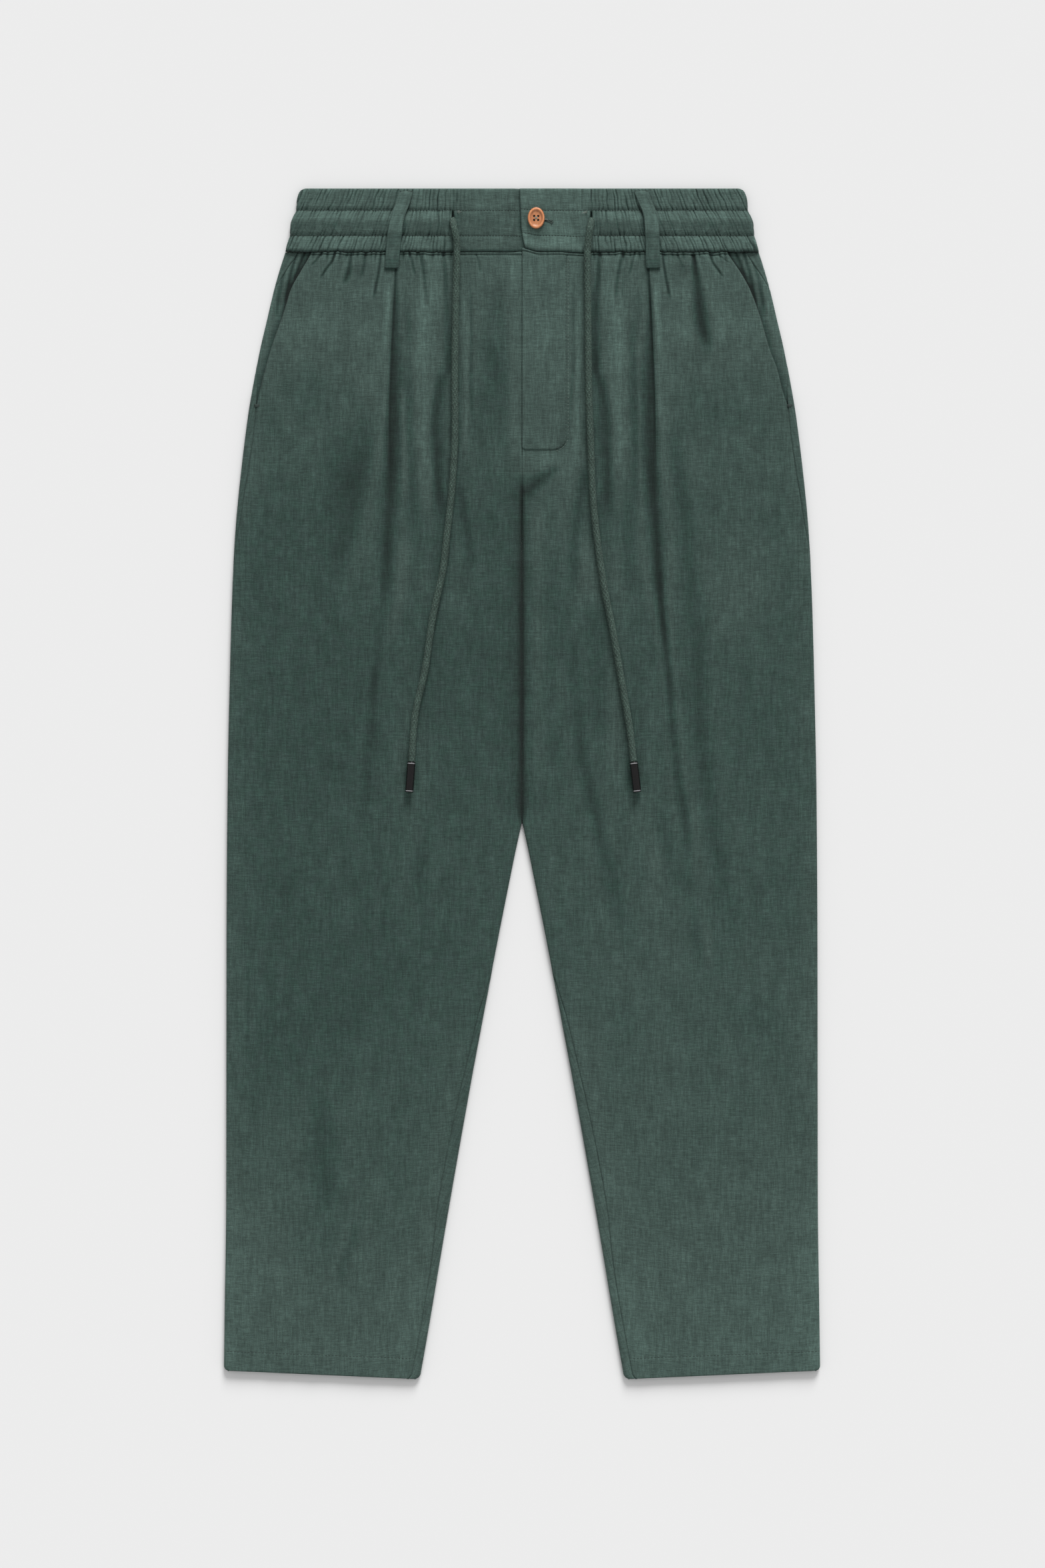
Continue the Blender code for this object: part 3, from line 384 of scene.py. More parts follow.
# Turn-under of a front's and a back's hem. Columns: drop, how far it sinks in
HEM_TURN = (
    (1019.5, 0.08), (1019.85, 0.25), (1020.0, 0.6), (1019.85, 1.1), (1019.2, 1.5), (1014.0, 1.55),
    (1003.5, 1.5),
)

# Middle line of each cord. Columns: drop, x, height
CORD_ROUTES = {
    RIGHT: (
        (26.6, -59.7, 4.4), (34, -58.3, 9.55), (48, -55.8, 9.22), (75, -56.2, 8.22), (103, -56.9, 8.19),
        (158, -57.6, 8.14), (212, -57.5, 8.12), (258, -60.1, 7.95), (300, -64.7, 7.9), (329, -68.1, 7.9),
        (369, -76.7, 7.92), (412, -83, 7.9), (451, -91.5, 7.9), (491, -94.6, 8.95),
    ),
    LEFT: (
        (26.6, 59.7, 4.4), (34, 58.3, 9.55), (48, 56.5, 9.27), (63, 55.8, 8.76), (85, 56.2, 8.06),
        (158, 56.9, 8.36), (209, 58.4, 8.3), (267, 60.9, 7.89), (305, 64.9, 7.9), (340, 70.1, 7.91),
        (377, 77.4, 7.91), (409, 83, 7.9), (460, 91.8, 7.9), (491, 95.5, 8.95),
    ),
}

# Middle line of each belt loop. Columns: drop, x on the right, x on the left, height of its underside
LOOP_LINE = (
    (2.6, -99.2, 102, 5.2), (8, -100.8, 104.1, 5.9), (14, -102.7, 106.4, 6.2), (20, -105, 109, 7.3),
    (26, -106.8, 110.5, 7.8), (32, -108, 111.1, 7.95), (38, -108.9, 111.5, 7.9),
    (44, -109.6, 111.7, 7.1), (50, -110.2, 111.9, 6.85), (57, -110.8, 112, 6.8),
    (64, -111.4, 112.2, 6.6), (68.6, -111.8, 112.3, 6.3),
)

# Painted light of a belt loop from its top end down: paler where it bows up, darker at its turned end.
# Columns: drop, light
LOOP_LIGHT = (
    (0, 1.34), (8, 1.5), (24, 1.56), (34, 1.44), (42, 1.15), (60, 1.12), (63, 0.96), (68.6, 0.92),
)

# Turned outline of an aglet, from the cord's end. Columns: share of the length, share of the radius
AGLET_PROFILE = (
    (0, 0.72), (0, 0.86), (0.006, 0.9), (0.03, 0.92), (0.034, 0.985), (0.062, 0.985), (0.068, 0.92),
    (0.1, 0.92), (0.5, 0.92), (0.9, 0.92), (0.932, 0.92), (0.938, 0.985), (0.966, 0.985), (0.972, 0.92),
    (0.994, 0.9), (1, 0.8), (1, 0.6),
)

# Turned outline of the button, from the edge of its back. Columns: share of the radius, height
BUTTON_PROFILE = (
    (0.55, 0), (0.68, 0.15), (0.8, 0.4), (0.9, 0.75), (0.97, 1.2), (1, 1.75), (0.99, 2.3), (0.95, 2.8),
    (0.9, 3.1), (0.84, 3.2), (0.78, 3.1), (0.73, 2.8), (0.68, 2.35), (0.63, 2.12), (0.56, 2.02),
    (0.4, 2), (0.2, 2),
)

# Painted light of a leg from the waist down, paler where it bulges more near the waist. Columns: drop, light
LEG_LIGHT = (
    (55, 1.34), (120, 1.33), (170, 1.14), (220, 1.08), (300, 0.96), (450, 0.95), (560, 0.99),
    (700, 1.05), (800, 1.11), (900, 1.21), (980, 1.35), (1020, 1.35),
)

# Soft patches of painted light and shade on the cloth. Columns: drop, out, height, width, change
PAINTED_PATCHES = {
    RIGHT: (
        (145, 24, 45, 10, -0.22), (245, 148, 30, 20, -0.2), (112, 178, 28, 36, 0.02),
        (430, 45, 70, 34, -0.06), (190, 225, 26, 22, -0.08), (430, 180, 110, 60, -0.07),
        (650, 150, 110, 90, -0.1), (840, 170, 60, 22, -0.1), (900, 222, 60, 26, 0.08),
        (963, 98, 22, 14, 0.06), (96, 72, 20, 10, 0.14), (68, 20, 10, 50, 0.1), (340, 155, 24, 14, 0.1),
        (290, 34, 34, 16, -0.08), (165, 135, 26, 8, 0.1), (300, 155, 26, 20, -0.06),
        (130, 82, 60, 9, 0.2), (70, 140, 9, 9, -0.12), (345, 58, 30, 14, 0.14), (75, 200, 22, 14, -0.1),
        (480, 96, 70, 13, 0.2), (195, 32, 40, 8, -0.12), (335, 84, 20, 8, 0.18),
        (130, 40, 30, 11, -0.08), (130, 18, 60, 17, -0.15), (122, 96, 22, 6, -0.12),
        (240, 152, 34, 20, -0.1), (180, 66, 60, 6, -0.04), (420, 128, 60, 8, -0.08),
        (72, 144, 10, 9, -0.16), (700, 185, 60, 50, -0.04), (745, 214, 40, 26, -0.06),
        (850, 150, 40, 16, -0.05), (440, 12, 100, 14, -0.1), (355, 170, 30, 16, -0.08),
        (486, 162, 24, 16, -0.09), (605, 212, 36, 16, -0.1), (645, 172, 20, 14, -0.08),
        (902, 244, 26, 10, 0.2), (902, 172, 24, 20, -0.08), (958, 150, 22, 16, -0.1),
        (122, 178, 16, 9, 0.18), (174, 184, 22, 14, -0.12), (110, 148, 16, 10, -0.06),
        (296, 114, 48, 6, 0.18), (334, 117, 24, 6, 0.12), (174, 96, 26, 7, -0.16),
        (278, 97, 20, 7, -0.1), (226, 129, 20, 8, -0.16),
    ),
    LEFT: (
        (192, 172, 22, 34, -0.12), (112, 190, 30, 30, 0.06), (250, 12, 9, 15, -0.22),
        (236, 30, 8, 28, 0.16), (130, 20, 90, 20, 0.1), (712, 200, 28, 28, -0.1),
        (804, 233, 16, 12, -0.1), (711, 89, 14, 8, -0.08), (673, 88, 14, 14, 0.08),
        (963, 95, 22, 14, 0.08), (850, 75, 20, 10, 0.05), (300, 190, 60, 40, 0.1),
        (330, 80, 34, 12, 0.08), (430, 14, 110, 14, -0.08), (270, 34, 40, 14, 0.14),
        (190, 47, 80, 6, 0.2), (320, 50, 30, 7, 0.2), (332, 62, 26, 8, 0.48), (70, 142, 10, 10, -0.2),
        (130, 82, 60, 8, 0.12), (340, 190, 40, 40, 0.16), (200, 65, 75, 6, -0.22), (232, 16, 8, 26, 0.3),
        (190, 26, 30, 14, 0.1), (122, 152, 34, 10, -0.14), (335, 84, 18, 8, 0.16),
        (620, 190, 40, 24, -0.05), (600, 120, 60, 16, 0.05), (70, 46, 14, 5, 0.3),
        (180, 97, 75, 6, -0.2), (450, 80, 70, 8, 0.24), (570, 112, 45, 10, 0.16),
        (226, 42, 14, 12, 0.12), (902, 244, 26, 10, 0.18), (815, 150, 50, 24, -0.06),
        (980, 134, 36, 18, -0.12), (174, 226, 16, 12, -0.12), (382, 34, 30, 10, -0.06),
        (68, 145, 8, 8, -0.12), (300, 113, 40, 6, 0.14), (174, 96, 26, 7, -0.08),
        (278, 128, 20, 8, -0.12), (538, 96, 24, 8, 0.1),
    ),
}

# Drops between which things show on the fronts: where each starts, is full, fades and has ended
CORD_BED_DROPS = (62, 72, 486, 492)
CORD_SHADOW_DROPS = (58, 70, 488, 493)
AGLET_SHADOW_DROPS = (489, 494, 517, 521)
SEAM_LIGHT_DROPS = (66, 90, 244, 256)

# Painted shadow on the cloth on the inner and the outer side of a cord, and beside the centre seam's groove.
# A value below 0 paints the cloth lighter there instead
CORD_SHADOW = {RIGHT: (0.3, 0.06), LEFT: (-0.14, 0.26)}
GROOVE_SHADOW = {RIGHT: 0.33, LEFT: 0.2}

# The rolled allowance in the groove of the centre seam, and how dark it is painted to stand for the groove's
# shade
ALLOWANCE_LEVEL = 2.5
ALLOWANCE_PAINTED_SHADE = 0.42

# Distances of the first points from a sewn edge, and the depth and width of its roll
NEAR_STEPS = np.array((0.0, 0.2, 0.5, 1.0, 1.7, 2.6, 3.6, 4.6))
SEAM_ROLL = (0.7, 0.55)
POCKET_ROLL = (1.3, 0.55)

# First points of the waistband's lip, its short top seams, and the points of the underlap's stitches
BAND_LIP = np.array((0.0, 0.25, 0.7, 1.3))
TOP_SEAM_OUT = {RIGHT: 49.3, LEFT: 51.2}
UNDERLAP_STITCHED = 60

# Section of the pleat's fold: distance from its edge, how far that leans over, and share of its step
PLEAT_OFFSETS = np.array((-1.3, -0.9, -0.5, -0.2, 0.1, 0.5, 1.1))
PLEAT_OVERHANG = np.array((0.0, 0.3, 1.0, 0.45, -0.1, -0.2, 0.0))
PLEAT_SHARES = np.array((0.0, 0.0, 0.0, 0.35, 0.8, 0.97, 1.0))

# Columns of points before and behind the pleat, and across a back's underside
INNER_COLUMNS = 118
OUTER_COLUMNS = 140
BACK_COLUMNS = 30

# Drops of the rows of points
CROTCH_ROWS = (541.0, 543.0, 544.5, 546.0, 548.0, 551.0, 555.0)
FRONT_DROPS = np.concatenate(
    (
        (50.4, 52.5, 54.0, 54.6, 55.1, 55.6, 56.1, 56.5, 56.9, 57.3, 57.8, 58.6, 59.5),
        np.arange(60.5, 90.0, 1.2),
        np.arange(90.0, 130.0, 2.0),
        np.arange(130.0, 330.0, 5.0),
        np.arange(330.0, 538.0, 9.0),
        CROTCH_ROWS,
        np.arange(560.0, 998.0, 16.0),
        (1000.0, 1001.2, 1001.8, HEM_STITCH, 1002.8, 1003.4, 1005.0, 1009.0, 1013.0, 1016.5, 1018.6),
    )
)
BACK_DROPS = np.concatenate(
    (
        (54.5, 55.6, 57.0, 60.0),
        np.arange(64.0, 340.0, 6.0),
        np.arange(340.0, 535.0, 12.0),
        CROTCH_ROWS,
        np.arange(568.0, 996.0, 12.0),
        (1000.0, 1001.6, HEM_STITCH, 1003.0, 1006.0, 1012.0, 1016.5, 1018.6),
    )
)

# Patterns of the linen. Columns: grain across and along in mm, detail, place, change of lightness.
# The first two are the warp and the weft, then come slubs both ways, soft clouds and a fine grain
LINEN_PATTERNS = (
    (0.95, 9.0, 2.0, 3.1, 0.16), (7.0, 0.9, 2.0, 8.7, 0.16), (2.6, 30.0, 1.0, 5.3, 0.1),
    (26.0, 1.7, 1.0, 4.4, 0.08), (13.0, 24.0, 3.0, 1.9, 0.09), (0.8, 0.8, 1.0, 6.4, 0.11),
)
SMOOTH = {"interpolation_type": "SMOOTHSTEP"}


def linear(code):
    """An sRGB hex colour as linear red, green, blue and alpha."""
    shares = [int(code[i : i + 2], 16) / 255 for i in (1, 3, 5)]
    return (*[s / 12.92 if s <= 0.04045 else ((s + 0.055) / 1.055) ** 2.4 for s in shares], 1.0)


def along(table, at, column=1):
    """The table's column at the given places, on a smooth curve that never overshoots its rows."""
    rows = np.array(table, float)
    places, values = rows[:, 0], rows[:, column]
    gaps = np.diff(places)
    slopes = np.diff(values) / gaps
    tangents = np.zeros(len(places))
    same_way = slopes[:-1] * slopes[1:] > 0
    inner = np.zeros(len(slopes) - 1)
    inner[same_way] = 2 / (1 / slopes[:-1][same_way] + 1 / slopes[1:][same_way])
    tangents[1:-1] = inner
    tangents[0], tangents[-1] = slopes[0], slopes[-1]
    where = np.clip(at, places[0], places[-1])
    k = np.clip(np.searchsorted(places, where, side="right") - 1, 0, len(gaps) - 1)
    t = (where - places[k]) / gaps[k]
    rise = (1 + 2 * t) * (1 - t) ** 2 * values[k] + t**2 * (3 - 2 * t) * values[k + 1]
    lean = t * (1 - t) ** 2 * tangents[k] - t**2 * (1 - t) * tangents[k + 1]
    return rise + lean * gaps[k]


def eased(low, high, value):
    """0 below low, 1 above high, and a smooth step between them."""
    t = np.clip((value - low) / (high - low), 0, 1)
    return t * t * (3 - 2 * t)


def between(start, full, fading, end, value):
    """1 from full to fading, eased to 0 at start and at end."""
    return eased(start, full, value) * (1 - eased(fading, end, value))


def bell(distance, spread):
    return np.exp(-((distance / spread) ** 2))


def roll(steps, depth, width):
    """How far cloth sinks as it turns down into a seam or an edge."""
    return depth * bell(steps, width)


def ripple(across, down, wide, tall, seed):
    """Soft unevenness of about -1 to 1, with hills about this wide and tall."""
    draw = np.random.default_rng(seed)
    total = 0.0
    for _ in range(7):
        turn, size, start = draw.uniform(0, math.tau), draw.uniform(0.6, 1.5), draw.uniform(0, math.tau)
        waves = across * math.cos(turn) / wide + down * math.sin(turn) / tall
        total = total + np.sin(math.tau * size * waves + start)
    return total / 3.2


def travel_of(points):
    """Distance travelled along a line of points, at each of them."""
    return np.concatenate([[0], np.cumsum(np.linalg.norm(np.diff(points, axis=0), axis=1))])


def named(kind, side):
    """Name of a piece or a node that comes in a right and a left one."""
    return f"{kind}_{SIDE_NAMES[side]}"


def y_at(drop):
    return LENGTH / 2 - drop


def placed(side, out, drop, z):
    """Points in millimetres, from arrays or numbers."""
    out, drop, z = np.broadcast_arrays(out, drop, z)
    return np.stack((side * out, y_at(drop), z), axis=-1).astype(float)


def wrap_to_skin(wrap, reach):
    """Distance s along the skin of a line that lies this far in from the outline, seen from above."""
    if wrap >= reach:
        return QUARTER + wrap - reach
    return QUARTER * math.acos(1 - wrap / reach) / (math.pi / 2)


def on_skin(s, centre, towards, reach, level, top, ply, sunk=0.0):
    """Out and height at distances s along an edge rounded about the line at out = centre."""
    angle = np.clip(s / QUARTER, -1, 1) * math.pi / 2
    run = np.maximum(np.abs(s) - QUARTER, 0)
    middle = level / 2 + ply * SEAM_GAP / 2
    half = np.where(s > 0, top - middle, middle)
    across, up = np.cos(angle), np.sin(angle)
    return centre + towards * ((reach - sunk) * across - run), middle + (half - sunk) * up


def hem_slant(drop, out):
    """Drop of a point of a row, as the hem runs lower at the inseam than at the side."""
    inseam, side = HEM_OUTS
    lift = HEM_SLANT * np.clip((out - inseam) / (side - inseam), 0, 1)
    lowered = np.maximum(drop - HEM_SLANT_DROP, 0) / (LENGTH - HEM_SLANT_DROP)
    return drop - lift * lowered


def hem_inset(drop):
    """Rounding of the hem's two corners."""
    over = max(drop - (LENGTH - HEM_CORNER), 0)
    return HEM_CORNER - math.sqrt(HEM_CORNER**2 - over**2)


def missing_turn(drop, groove_drops):
    """Angle that an edge still lacks, where a flat centre seam turns into the leg's round edge."""
    return (1 - eased(*groove_drops, drop)) * math.pi / 2


def crease_sum(rows, out, drop):
    """Rise and painted light and shade of a table of creases, added up over places in one row."""
    rise, light = np.zeros_like(out), np.zeros_like(out)
    for height, change, *places in rows:
        first, last = places[0][0], places[-1][0]
        share = (drop - first) / (last - first)
        if 0 <= share < 1:
            fade = 1.0 if first <= CREASE_SEWN_DROP else eased(0, CREASE_FADE_IN, share)
            fade = fade * (1 - eased(CREASE_FADE_OUT, 1, share))
            distance, spread = out - along(places, drop), along(places, drop, 2)
            form = fade * bell(distance, spread)
            rise += height * form
            # Painted shade in each crease, with a painted highlight on its flanks
            flanks = bell(np.abs(distance) - CREASE_FLANK_PLACE * spread, spread)
            light += change * (form - CREASE_FLANK * fade * flanks)
    return rise, light


def small_gathers(side, out, drop):
    """Uneven little gathers right at the waist seam, away from the plain centre, from 0 to 1."""
    below = drop - WAIST_DROP
    reach = 8.0 + 6.0 * ripple(out, 0.0, 14.0, 1.0, seed=40 + side)
    fade = 1 - eased(0.1, 1, below / np.maximum(reach, 3))
    place = out + 2.0 * ripple(out, 0.0, 16.0, 1.0, seed=41 + side) - 0.16 * below
    valley = (1 - np.abs(np.sin(math.pi * place / SMALL_GATHER_PITCH))) ** 1.4
    return valley * fade * eased(*PLAIN_CENTRE, out)


def cord_bed(side, out, drop):
    """Distance from the drawstring's middle line, and the rise of the cloth that it lies on."""
    route = CORD_ROUTES[side]
    under = along(route, drop, 2) - CORD_DIAMETER / 2 - CORD_CLEARANCE
    return out - side * along(route, drop), under - FRONT_LEVEL


def front_rise(side, out, drop):
    """Rise of a front above its plain level, apart from its pleat."""
    room = eased(*CENTRE_EASING, out) * eased(*SIDE_EASING, along(OUTLINE, drop) - out)
    total = bpy.context.scene.trousers_sizes.fold_depth * crease_sum(CREASES[side], out, drop)[0]
    total = np.clip(total * room, MOST_SINK, MOST_RISE)
    total -= SMALL_GATHER_DEPTH * small_gathers(side, out, drop)
    soft = 0.16 * ripple(out, drop, 34, 90, seed=11 + side)
    soft = soft + 0.05 * ripple(out, drop, 11, 26, seed=14 + side)
    total += (soft - 0.1) * room
    distance, bed = cord_bed(side, out, drop)
    total += (bed - total) * bell(distance, 2.8) * between(*CORD_BED_DROPS, drop)
    hem = LENGTH - HEM_DEPTH
    total += HEM_STEP * eased(hem - 0.6, hem + 0.2, drop) - 0.3 * bell(drop - HEM_STITCH, 0.5)
    return total + along(PIPING, drop - foot_shift(side, out))


def pleat_heights(out, drop):
    """Height of the pleat's step before and behind its fold edge."""
    edge, step = along(PLEAT, drop), along(PLEAT, drop, 2)
    before = -PLEAT_SINK * step * bell(out - edge, PLEAT_FRONT)
    return np.where(out < edge, before, step * bell(out - edge, PLEAT_BACK))


def front_top(side, out, drop):
    """Height of a front's face, for what lies or is sewn on it."""
    out = np.atleast_1d(np.asarray(out, float))
    return FRONT_LEVEL + front_rise(side, out, drop) + pleat_heights(out, drop)


def painted_leg_light(side, out, drop):
    """Painted light and shade of a leg: soft light and dark areas."""
    from_side, from_inner = along(OUTLINE, drop) - out, out - along(INNER_EDGE, drop)
    total = along(LEG_LIGHT, drop) + side * (0.02 + 0.035 * eased(600, 700, drop))
    total = total + 0.03 * ripple(out, drop, 70, 140, seed=21 + side) + 0.13 * bell(from_side, 15)
    total = total + 0.03 * ripple(out, drop, 24, 40, seed=24 + side)
    total = total * (1 + 0.08 * bell(from_side, 20) * eased(870, 920, drop))
    total = total + 0.1 * bell(from_inner - 14, 14) * eased(690, 770, drop)
    for middle_drop, middle, tall, wide, change in PAINTED_PATCHES[side]:
        total = total + change * bell(out - middle, wide) * bell(drop - middle_drop, tall)
    return total


def loop_middle(side, drop):
    """How far out the middle of a belt loop lies."""
    return side * along(LOOP_LINE, drop, SIDE_COLUMN[side])


def loop_shadow(side, out, drop):
    """Painted shadow on the waistband beside a belt loop, 0 to 1."""
    distance = out - loop_middle(side, drop)
    inner = bell(distance + 6.6, 1.9) * between(10, 18, 34, 42, drop)
    outer = 0.7 * bell(distance - 6.5, 0.9) * (1 - 0.8 * between(14, 22, 34, 40, drop))
    return np.where(distance < 0, inner, outer)


def slot_shadow(out, drop):
    """Painted shade where the waistband puckers round the drawstring's slot, 0 to 1."""
    distance = out - (CENTRE_SEAM + 0.9 * math.sin(drop * 0.7))
    narrow = 0.45 * bell(distance, 1.3) * bell(drop - 23.5, 6.5)
    return narrow + 0.15 * bell(distance, 3.4) * bell(drop - 27, 8)


def seam_wobble(x):
    """How far the waist seam strays from its line where the cloth is gathered into it."""
    return 0.55 * ripple(x, 0.0, 15.0, 1.0, seed=51) * eased(54, 66, np.abs(x))


def band_top(drop, puff=1.0):
    return BAND_LEVEL + puff * along(BAND_ROWS, drop)


def gathered_top(out, drop):
    """Top of the gathered waistband, whose rows flatten towards the drawstring's slot."""
    return band_top(drop, SLOT_PUFF + (1 - SLOT_PUFF) * eased(*SLOT_EASING, out - CENTRE_SEAM))


def centre_level(side, x, drop):
    """Top of the waistband's plain centre pieces."""
    level = band_top(drop, PLAIN_PUFF)
    if side == RIGHT:
        return level + (UNDERLAP_LEVEL - level) * eased(*UNDERLAP_STEP, x)
    return level + (OVERLAP_LEVEL - BAND_LEVEL) * (1 - eased(*OVERLAP_STEP, x))


def overlap_foot(x):
    """Drop of the overlap's lower edge, whose corner is rounded off and whose far end dips."""
    corner = OVERLAP_CORNER * (1 - eased(*OVERLAP_CORNER_SPAN, x))
    return WAIST_DROP + 1.2 * eased(30, 55, x) - corner


def foot_shift(side, out):
    """How far the seam allowance follows the overlap's foot away from the straight waist seam."""
    return np.where((out < CENTRE_SEAM) & (side == LEFT), overlap_foot(out) - WAIST_DROP, 0.0)


def slot_share(drop):
    """Opening of the drawstring's slot at a drop, from 0 to 1."""
    return math.sqrt(max(1 - ((drop - SLOT_MIDDLE) / SLOT_HALF_HEIGHT) ** 2, 0))


def gathers(side, distance, drop):
    """Depth of the waistband's gathers, 0 to 1. The rows between stitches don't line up."""
    total = np.zeros_like(distance)
    edges = (-20.0, *STITCH_ROWS, 80.0)
    for row, (first, last) in enumerate(zip(edges, edges[1:])):
        belongs = between(first - 0.5, first + 0.5, last - 0.5, last + 0.5, drop)
        if belongs == 0:
            continue
        seed = 100 + 10 * row + side
        middle = (max(first, 0) + min(last, WAIST_DROP)) / 2
        place = distance - along(GATHER_LEAN, distance) * (drop - middle)
        phase = place / chosen_length("gather_pitch") + 0.28 * ripple(place, 0.0, 10.0, 1.0, seed)
        phase = phase + 0.16 * ripple(place, drop, 9.0, 14.0, seed + 3)
        valley = (1 - np.abs(np.sin(math.pi * phase))) ** 1.6
        uneven = np.clip(0.66 + 0.55 * ripple(place, drop, 6.0, 45.0, seed + 6), 0.08, 1.3)
        if row == 1:
            uneven = uneven * (0.4 + 0.6 * max(bell(drop - first, 7.0), bell(drop - last, 4.0)))
        total += belongs * valley * uneven
    return total


def stitch_dents(distance, drop):
    """Needle marks along the waistband's two rows of stitches, 0 to 1."""
    rows = sum(bell(drop - row, 0.5) for row in STITCH_ROWS)
    return rows * (0.55 + 0.45 * np.cos(math.tau * distance / 2.3))


def holder():
    """The collection that the dressed pieces go in."""
    if "dressed_trousers" not in bpy.data.collections:
        group = bpy.data.collections.new("dressed_trousers")
        bpy.context.scene.collection.children.link(group)
    return bpy.data.collections["dressed_trousers"]


def piece(name, points, faces, finishes, cut, shade=None):
    """A smooth mesh object in metres, with its cut as a UV map and, as the shade attribute, its painted light
    and shade at each point.
    """
    mesh = bpy.data.meshes.new(name)
    mesh.from_pydata((np.asarray(points) * MM).tolist(), [], [list(face) for face in faces])
    mesh.shade_smooth()
    corners = np.empty(len(mesh.loops), dtype=np.int64)
    mesh.loops.foreach_get("vertex_index", corners)
    mesh.uv_layers.new(name="cut").data.foreach_set("uv", (np.asarray(cut)[corners] * MM).ravel())
    values = np.ones(len(points)) if shade is None else np.asarray(shade, float).ravel()
    mesh.attributes.new("shade", "FLOAT", "POINT").data.foreach_set("value", values)
    for name_of_finish in finishes:
        mesh.materials.append(finish(name_of_finish))
    item = bpy.data.objects.new(name, mesh)
    holder().objects.link(item)
    return item


def cut_lengths(points, axis, anchor, values):
    """Distance along one way of a grid of points, which is right at one row or column."""
    steps = np.linalg.norm(np.diff(points, axis=axis), axis=2)
    total = np.cumsum(steps, axis=axis)
    total = np.insert(total, 0, 0.0, axis=axis)
    return total - np.take(total, [anchor], axis=axis) + values


def cloth(name, points, shade, flip, anchor=(0, 0), cut=None):
    """A thin shell of linen below a grid of points, whose threads run along its rows and columns."""
    points = np.array(points)
    rows, columns = points.shape[:2]
    index = np.arange(rows * columns).reshape(rows, columns)
    faces = np.stack((index[:-1, :-1], index[1:, :-1], index[1:, 1:], index[:-1, 1:]), axis=-1)
    faces = faces.reshape(-1, 4)[:, ::-1] if flip else faces.reshape(-1, 4)
    if cut is None:
        row, column = anchor
        across = cut_lengths(points, 1, column, np.abs(points[:, [column], 0]))
        cut = np.stack((across, cut_lengths(points, 0, row, -points[[row], :, 1])), axis=-1)
    cut = np.reshape(cut, (-1, 2))
    item = piece(name, points.reshape(-1, 3), faces.tolist(), ["woven linen"], cut, shade)
    wall = item.modifiers.new("cloth thickness", "SOLIDIFY")
    wall.thickness = bpy.context.scene.trousers_sizes.cloth_thickness
    wall.offset = -1
    return item


def tube_faces(count, around):
    """Faces of a skin over closed rings of points, with a cap at each end."""
    index = np.arange(count * around).reshape(count, around)
    nexts = np.roll(index, -1, axis=1)
    faces = np.stack((index[:-1], nexts[:-1], nexts[1:], index[1:]), axis=-1).reshape(-1, 4)
    return [*faces.tolist(), index[0][::-1].tolist(), index[-1].tolist()]


def tube(name, rings, finishes, shade=None):
    """A skin over closed rings of points, whose cut runs round and along it."""
    count, around = rings.shape[:2]
    middle_ring = rings[count // 2]
    girth = np.linalg.norm(middle_ring - np.roll(middle_ring, 1, axis=0), axis=1).sum()
    turn = np.arange(around) / around * girth
    travelled = travel_of(rings.mean(axis=1))
    cut = np.stack(np.broadcast_arrays(turn[None, :], travelled[:, None]), axis=-1).reshape(-1, 2)
    return piece(name, rings.reshape(-1, 3), tube_faces(count, around), finishes, cut, shade)


def dress(item, slot, *nodes):
    """Lets a piece ride on the trousers and stand for the nodes that are named, which it hides; the slot is
    not used.
    """
    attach(item, "root")
    if nodes:
        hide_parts(*nodes)


def sheet_of(item, kind, node_name, *rests_on):
    """Lets a piece of cloth stand for a node of the frame."""
    dress(item, "linen", node_name)


def joined(name, meshes, thread_name):
    """One sewn piece from many small closed skins, given as (points, faces)."""
    faces, start = [], 0
    for some_points, some_faces in meshes:
        faces += [[index + start for index in face] for face in some_faces]
        start += len(some_points)
    points = np.concatenate([some_points for some_points, _ in meshes])
    dress(piece(name, points, faces, [thread_name], points[:, [0, 1]]), "linen")


def thread(start, end, radius, arch=0.0, rings=4, sides=6):
    """One stitch as a short rounded bead of thread from start to end, arched up in the middle."""
    start, end = np.array(start, float), np.array(end, float)
    heading = (end - start) / max(np.linalg.norm(end - start), 1e-6)
    sideways = np.cross(heading, (0, 0, 1))
    sideways = sideways / max(np.linalg.norm(sideways), 1e-6)
    upwards = np.cross(sideways, heading)
    widths = np.full(rings, radius)
    widths[[0, -1]] = THREAD_TIP * radius
    turn = np.linspace(0, math.tau, sides, endpoint=False)
    ring = np.outer(np.cos(turn), sideways) + np.outer(np.sin(turn), upwards)
    points = []
    for share, width in zip(np.linspace(0, 1, rings), widths):
        middle = start + (end - start) * share + upwards * arch * math.sin(math.pi * share)
        points.append(middle + width * ring)
    return np.concatenate(points), tube_faces(rings, sides)


def stitch_run(line, pitch, length, radius, seed, lift=0.1, arch=0.12):
    """Stitches along a line of points, a little uneven in length and place."""
    line = np.asarray(line, float)
    travelled = travel_of(line)
    draw = np.random.default_rng(seed)
    made = []
    for place in np.arange(pitch / 2, travelled[-1] - pitch / 2, pitch):
        middle = place + draw.uniform(-0.15, 0.15)
        half = length / 2 * draw.uniform(0.85, 1.1)
        ends = [[np.interp(middle + way * half, travelled, line[:, k]) for k in range(3)] for way in (-1, 1)]
        ends[0][2] += lift
        ends[1][2] += lift
        made.append(thread(*ends, radius, arch))
    return made


def bar_tack(x, drop, z, wide, tall):
    """A dense little block of stitches across a seam's end."""
    made = []
    for k, place in enumerate(np.arange(-tall / 2, tall / 2, 0.42)):
        nudge = 0.15 * math.sin(2.7 * k)
        y = y_at(drop) + place
        made.append(thread((x - wide / 2 + nudge, y, z), (x + wide / 2 + nudge, y, z), 0.26, arch=0.15))
    return made


